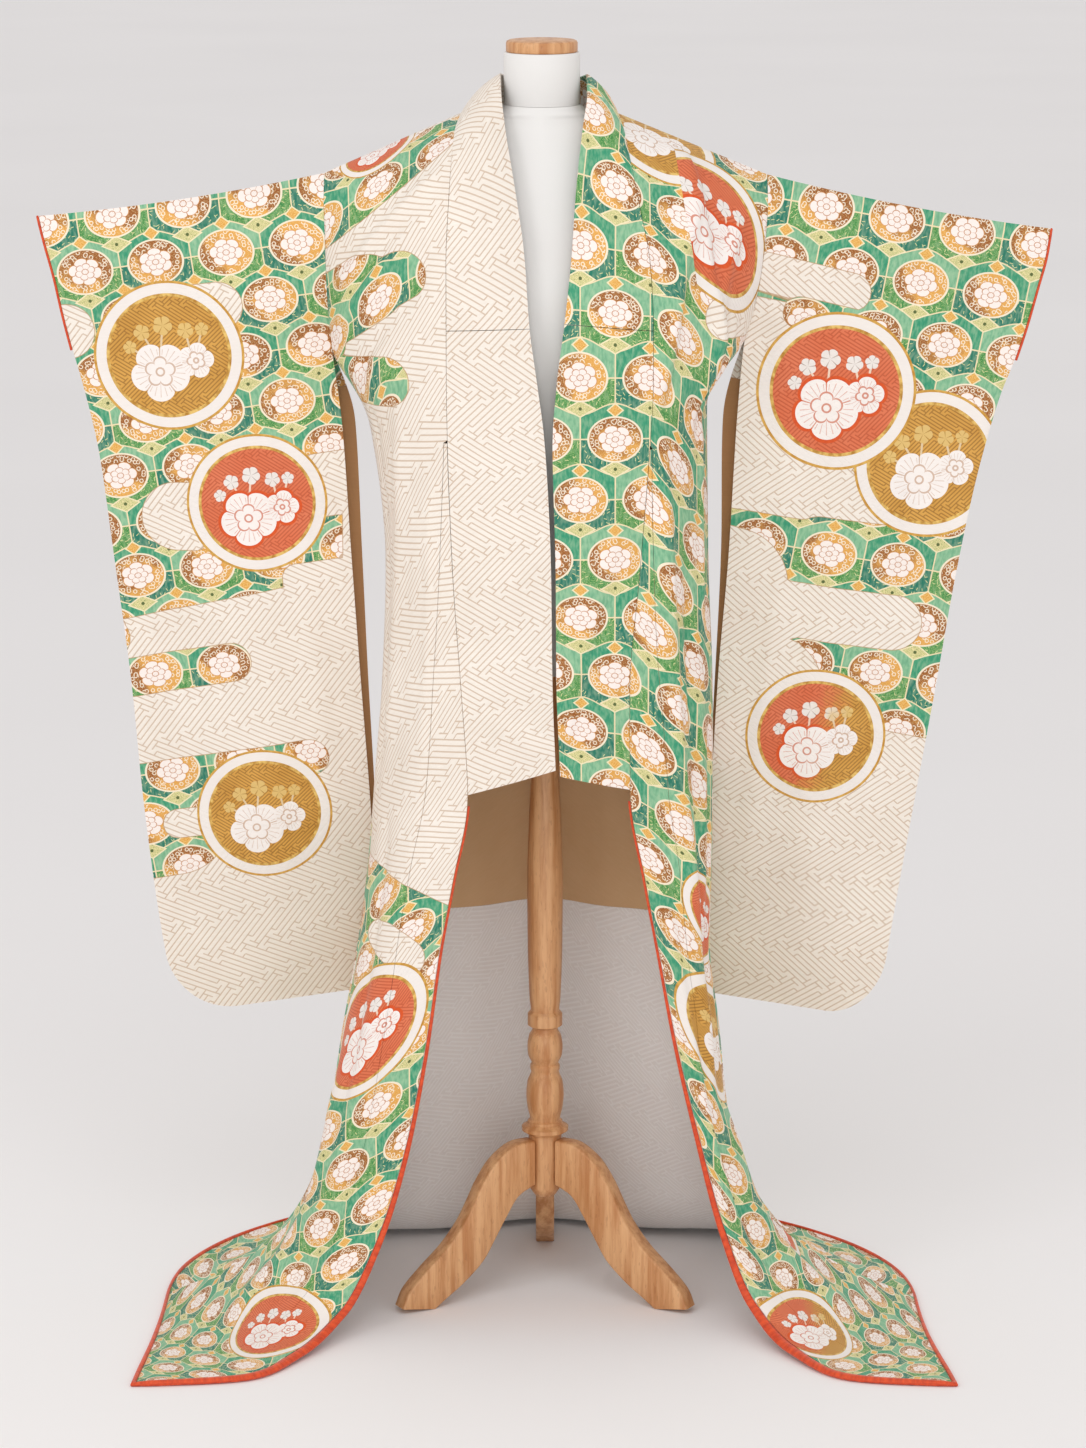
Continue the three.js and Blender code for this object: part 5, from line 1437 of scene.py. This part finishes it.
def turned_profile(profile):
    """Rounds a lathe profile between its beads, keeping the sharp steps."""
    heights = [profile[0][1]]
    for a, b in zip(profile, profile[1:]):
        steps = max(1, int((b[1] - a[1]) / 3))
        heights += [a[1] + (b[1] - a[1]) * k / steps for k in range(1, steps + 1)]
    r, z = np.array([p[0] for p in profile], float), np.array([p[1] for p in profile], float)
    zs = np.array(heights)
    d = np.diff(r) / np.diff(z)
    total = np.where(np.abs(d[:-1] + d[1:]) < 1e-9, 1, d[:-1] + d[1:])
    slope = np.where(d[:-1] * d[1:] <= 0, 0, 2 * d[:-1] * d[1:] / total)
    m = np.concatenate([[0], slope, [0]])
    i = np.clip(np.searchsorted(z, zs, side="right") - 1, 0, len(z) - 2)
    h = z[i + 1] - z[i]
    t = (zs - z[i]) / h
    rs = (1 + 2 * t) * (1 - t) ** 2 * r[i] + t * (1 - t) ** 2 * h * m[i]
    rs += t * t * (3 - 2 * t) * r[i + 1] + t * t * (t - 1) * h * m[i + 1]
    return list(zip(rs, zs))


def make_leg(name, angle):
    smooth = lambda pts, n: np.stack([eased_line([p[k] for p in pts], n) for k in (0, 1)], -1)
    up, low = smooth(LEG_UP[:-1], LEG_RINGS), smooth(LEG_LOW, LEG_RINGS)
    half, bevel, ease = LEG_WIDTH / 2, LEG_BEVEL, LEG_EASE
    rows = []
    for a, b in zip(low[::-1], up):
        d, n = unit(b - a), np.linalg.norm(b - a)
        # round the section: along the leg's depth, and across its width
        section = [
            (bevel, -half), (n - bevel, -half), (n - ease, ease - half), (n, bevel - half),
            (n, half - bevel), (n - ease, half - ease), (n - bevel, half), (bevel, half),
            (ease, half - ease), (0, half - bevel), (0, bevel - half), (ease, ease - half),
        ]
        rows.append([((a + d * depth)[0], y, max((a + d * depth)[1], 0.0)) for depth, y in section])
    pts = np.array(rows)
    t = math.radians(angle)
    c, s = math.cos(t), math.sin(t)
    x, y = pts[..., 0] * c - pts[..., 1] * s, pts[..., 0] * s + pts[..., 1] * c
    pts = np.stack([x, y, pts[..., 2]], -1)
    stand_piece(
        "turned_" + name, capped("turned_" + name, pts, len(section), LEG_RINGS, 50), name, "beech", BEECH
    )


def eased_line(values, n):
    """Rounded curve through equally spaced values."""
    v = np.array(values, float)
    p = np.concatenate([[2 * v[0] - v[1]], v, [2 * v[-1] - v[-2]]])
    at = np.linspace(0, len(v) - 1, n)
    i = np.minimum(at.astype(int), len(v) - 2)
    t = at - i
    a, b, c, d = p[i], p[i + 1], p[i + 2], p[i + 3]
    return 0.5 * (2 * b + (c - a) * t + (2 * a - 5 * b + 4 * c - d) * t**2 + (3 * b - a - 3 * c + d) * t**3)


def make_stand():
    make_form()
    drum("turned_pole", turned_profile(POLE), 0, "pole", "beech", BEECH, 64, 35)
    drum("leg_hub", HUB, 0, "hub", "beech", BEECH, 64, 35)
    for name, angle in LEGS.items():
        make_leg(name, angle)


for side in ("left", "right"):
    make_body(side)
    make_collar(side)
    make_sleeve(side)
    make_lining(side)
    make_hem_roll(side)
    make_cuff_roll(side)
make_stand()


# ---- studio ----
# Columns: name, place, what it is aimed at, width in metres, watts.
LAMPS = [
    ("key", (-3.0, -3.2, 3.2), (0, 0, 0.9), 1.6, 26),
    ("fill", (3.0, -4.2, 1.4), (0, 0, 0.8), 2.6, 8),
    ("front", (0.0, -6.4, 1.1), (0, 0, 0.4), 2.2, 42),
    ("top", (0.0, -3.2, 4.0), (0, -2.2, 0.0), 2.6, 26),
]
SENSOR, LENS_PIXELS, FRAME_HEIGHT = 36.0, 4707.0, 1448.0
EYE, LOOK_DOWN = (0.0, -6.0, 2.15), 12.93
FLOOR_REACH, AIR_LIGHT = 60.0, 0.82


def make_studio():
    mesh = bpy.data.meshes.new("floor")
    corners = [(x * FLOOR_REACH, y * FLOOR_REACH, 0) for x, y in ((-1, -1), (1, -1), (1, 1), (-1, 1))]
    mesh.from_pydata(corners, [], [(0, 1, 2, 3)])
    o = bpy.data.objects.new("floor", mesh)
    bpy.context.collection.objects.link(o)
    m, tree, shader = new_material("Pale studio paper", Specular_IOR_Level=0.1)
    coords = tree.nodes.new("ShaderNodeTexCoord").outputs["Object"]
    link(tree, dye(tree, noise(tree, coords, 0.6, 2.0), "#eeecec", "#f4f2f2"), shader.inputs["Base Color"])
    link(tree, noise(tree, coords, 30.0) * 0.1 + 0.8, shader.inputs["Roughness"])
    mesh.materials.append(m)
    world = bpy.data.worlds.new("Studio air")
    bpy.context.scene.world = world
    world.use_nodes = True
    world.node_tree.nodes["Background"].inputs[0].default_value = (1.0, 0.985, 0.98, 1.0)
    world.node_tree.nodes["Background"].inputs[1].default_value = AIR_LIGHT
    bpy.context.scene.view_settings.view_transform = "Standard"
    for name, place, aim, size, power in LAMPS:
        data = bpy.data.lights.new(name, "AREA")
        data.shape, data.size, data.energy = "DISK", size, power
        lamp = bpy.data.objects.new(name, data)
        lamp.location = place
        lamp.rotation_euler = (Vector(aim) - Vector(place)).to_track_quat("-Z", "Y").to_euler()
        bpy.context.collection.objects.link(lamp)
    camera = bpy.data.cameras.new("camera")
    camera.sensor_width, camera.lens = SENSOR, LENS_PIXELS / FRAME_HEIGHT * SENSOR
    camera.shift_x = -2.0 / FRAME_HEIGHT
    eye = bpy.data.objects.new("camera", camera)
    eye.location, eye.rotation_euler = EYE, (math.radians(90 - LOOK_DOWN), 0.0, 0.0)
    bpy.context.collection.objects.link(eye)
    bpy.context.scene.camera = eye


make_studio()
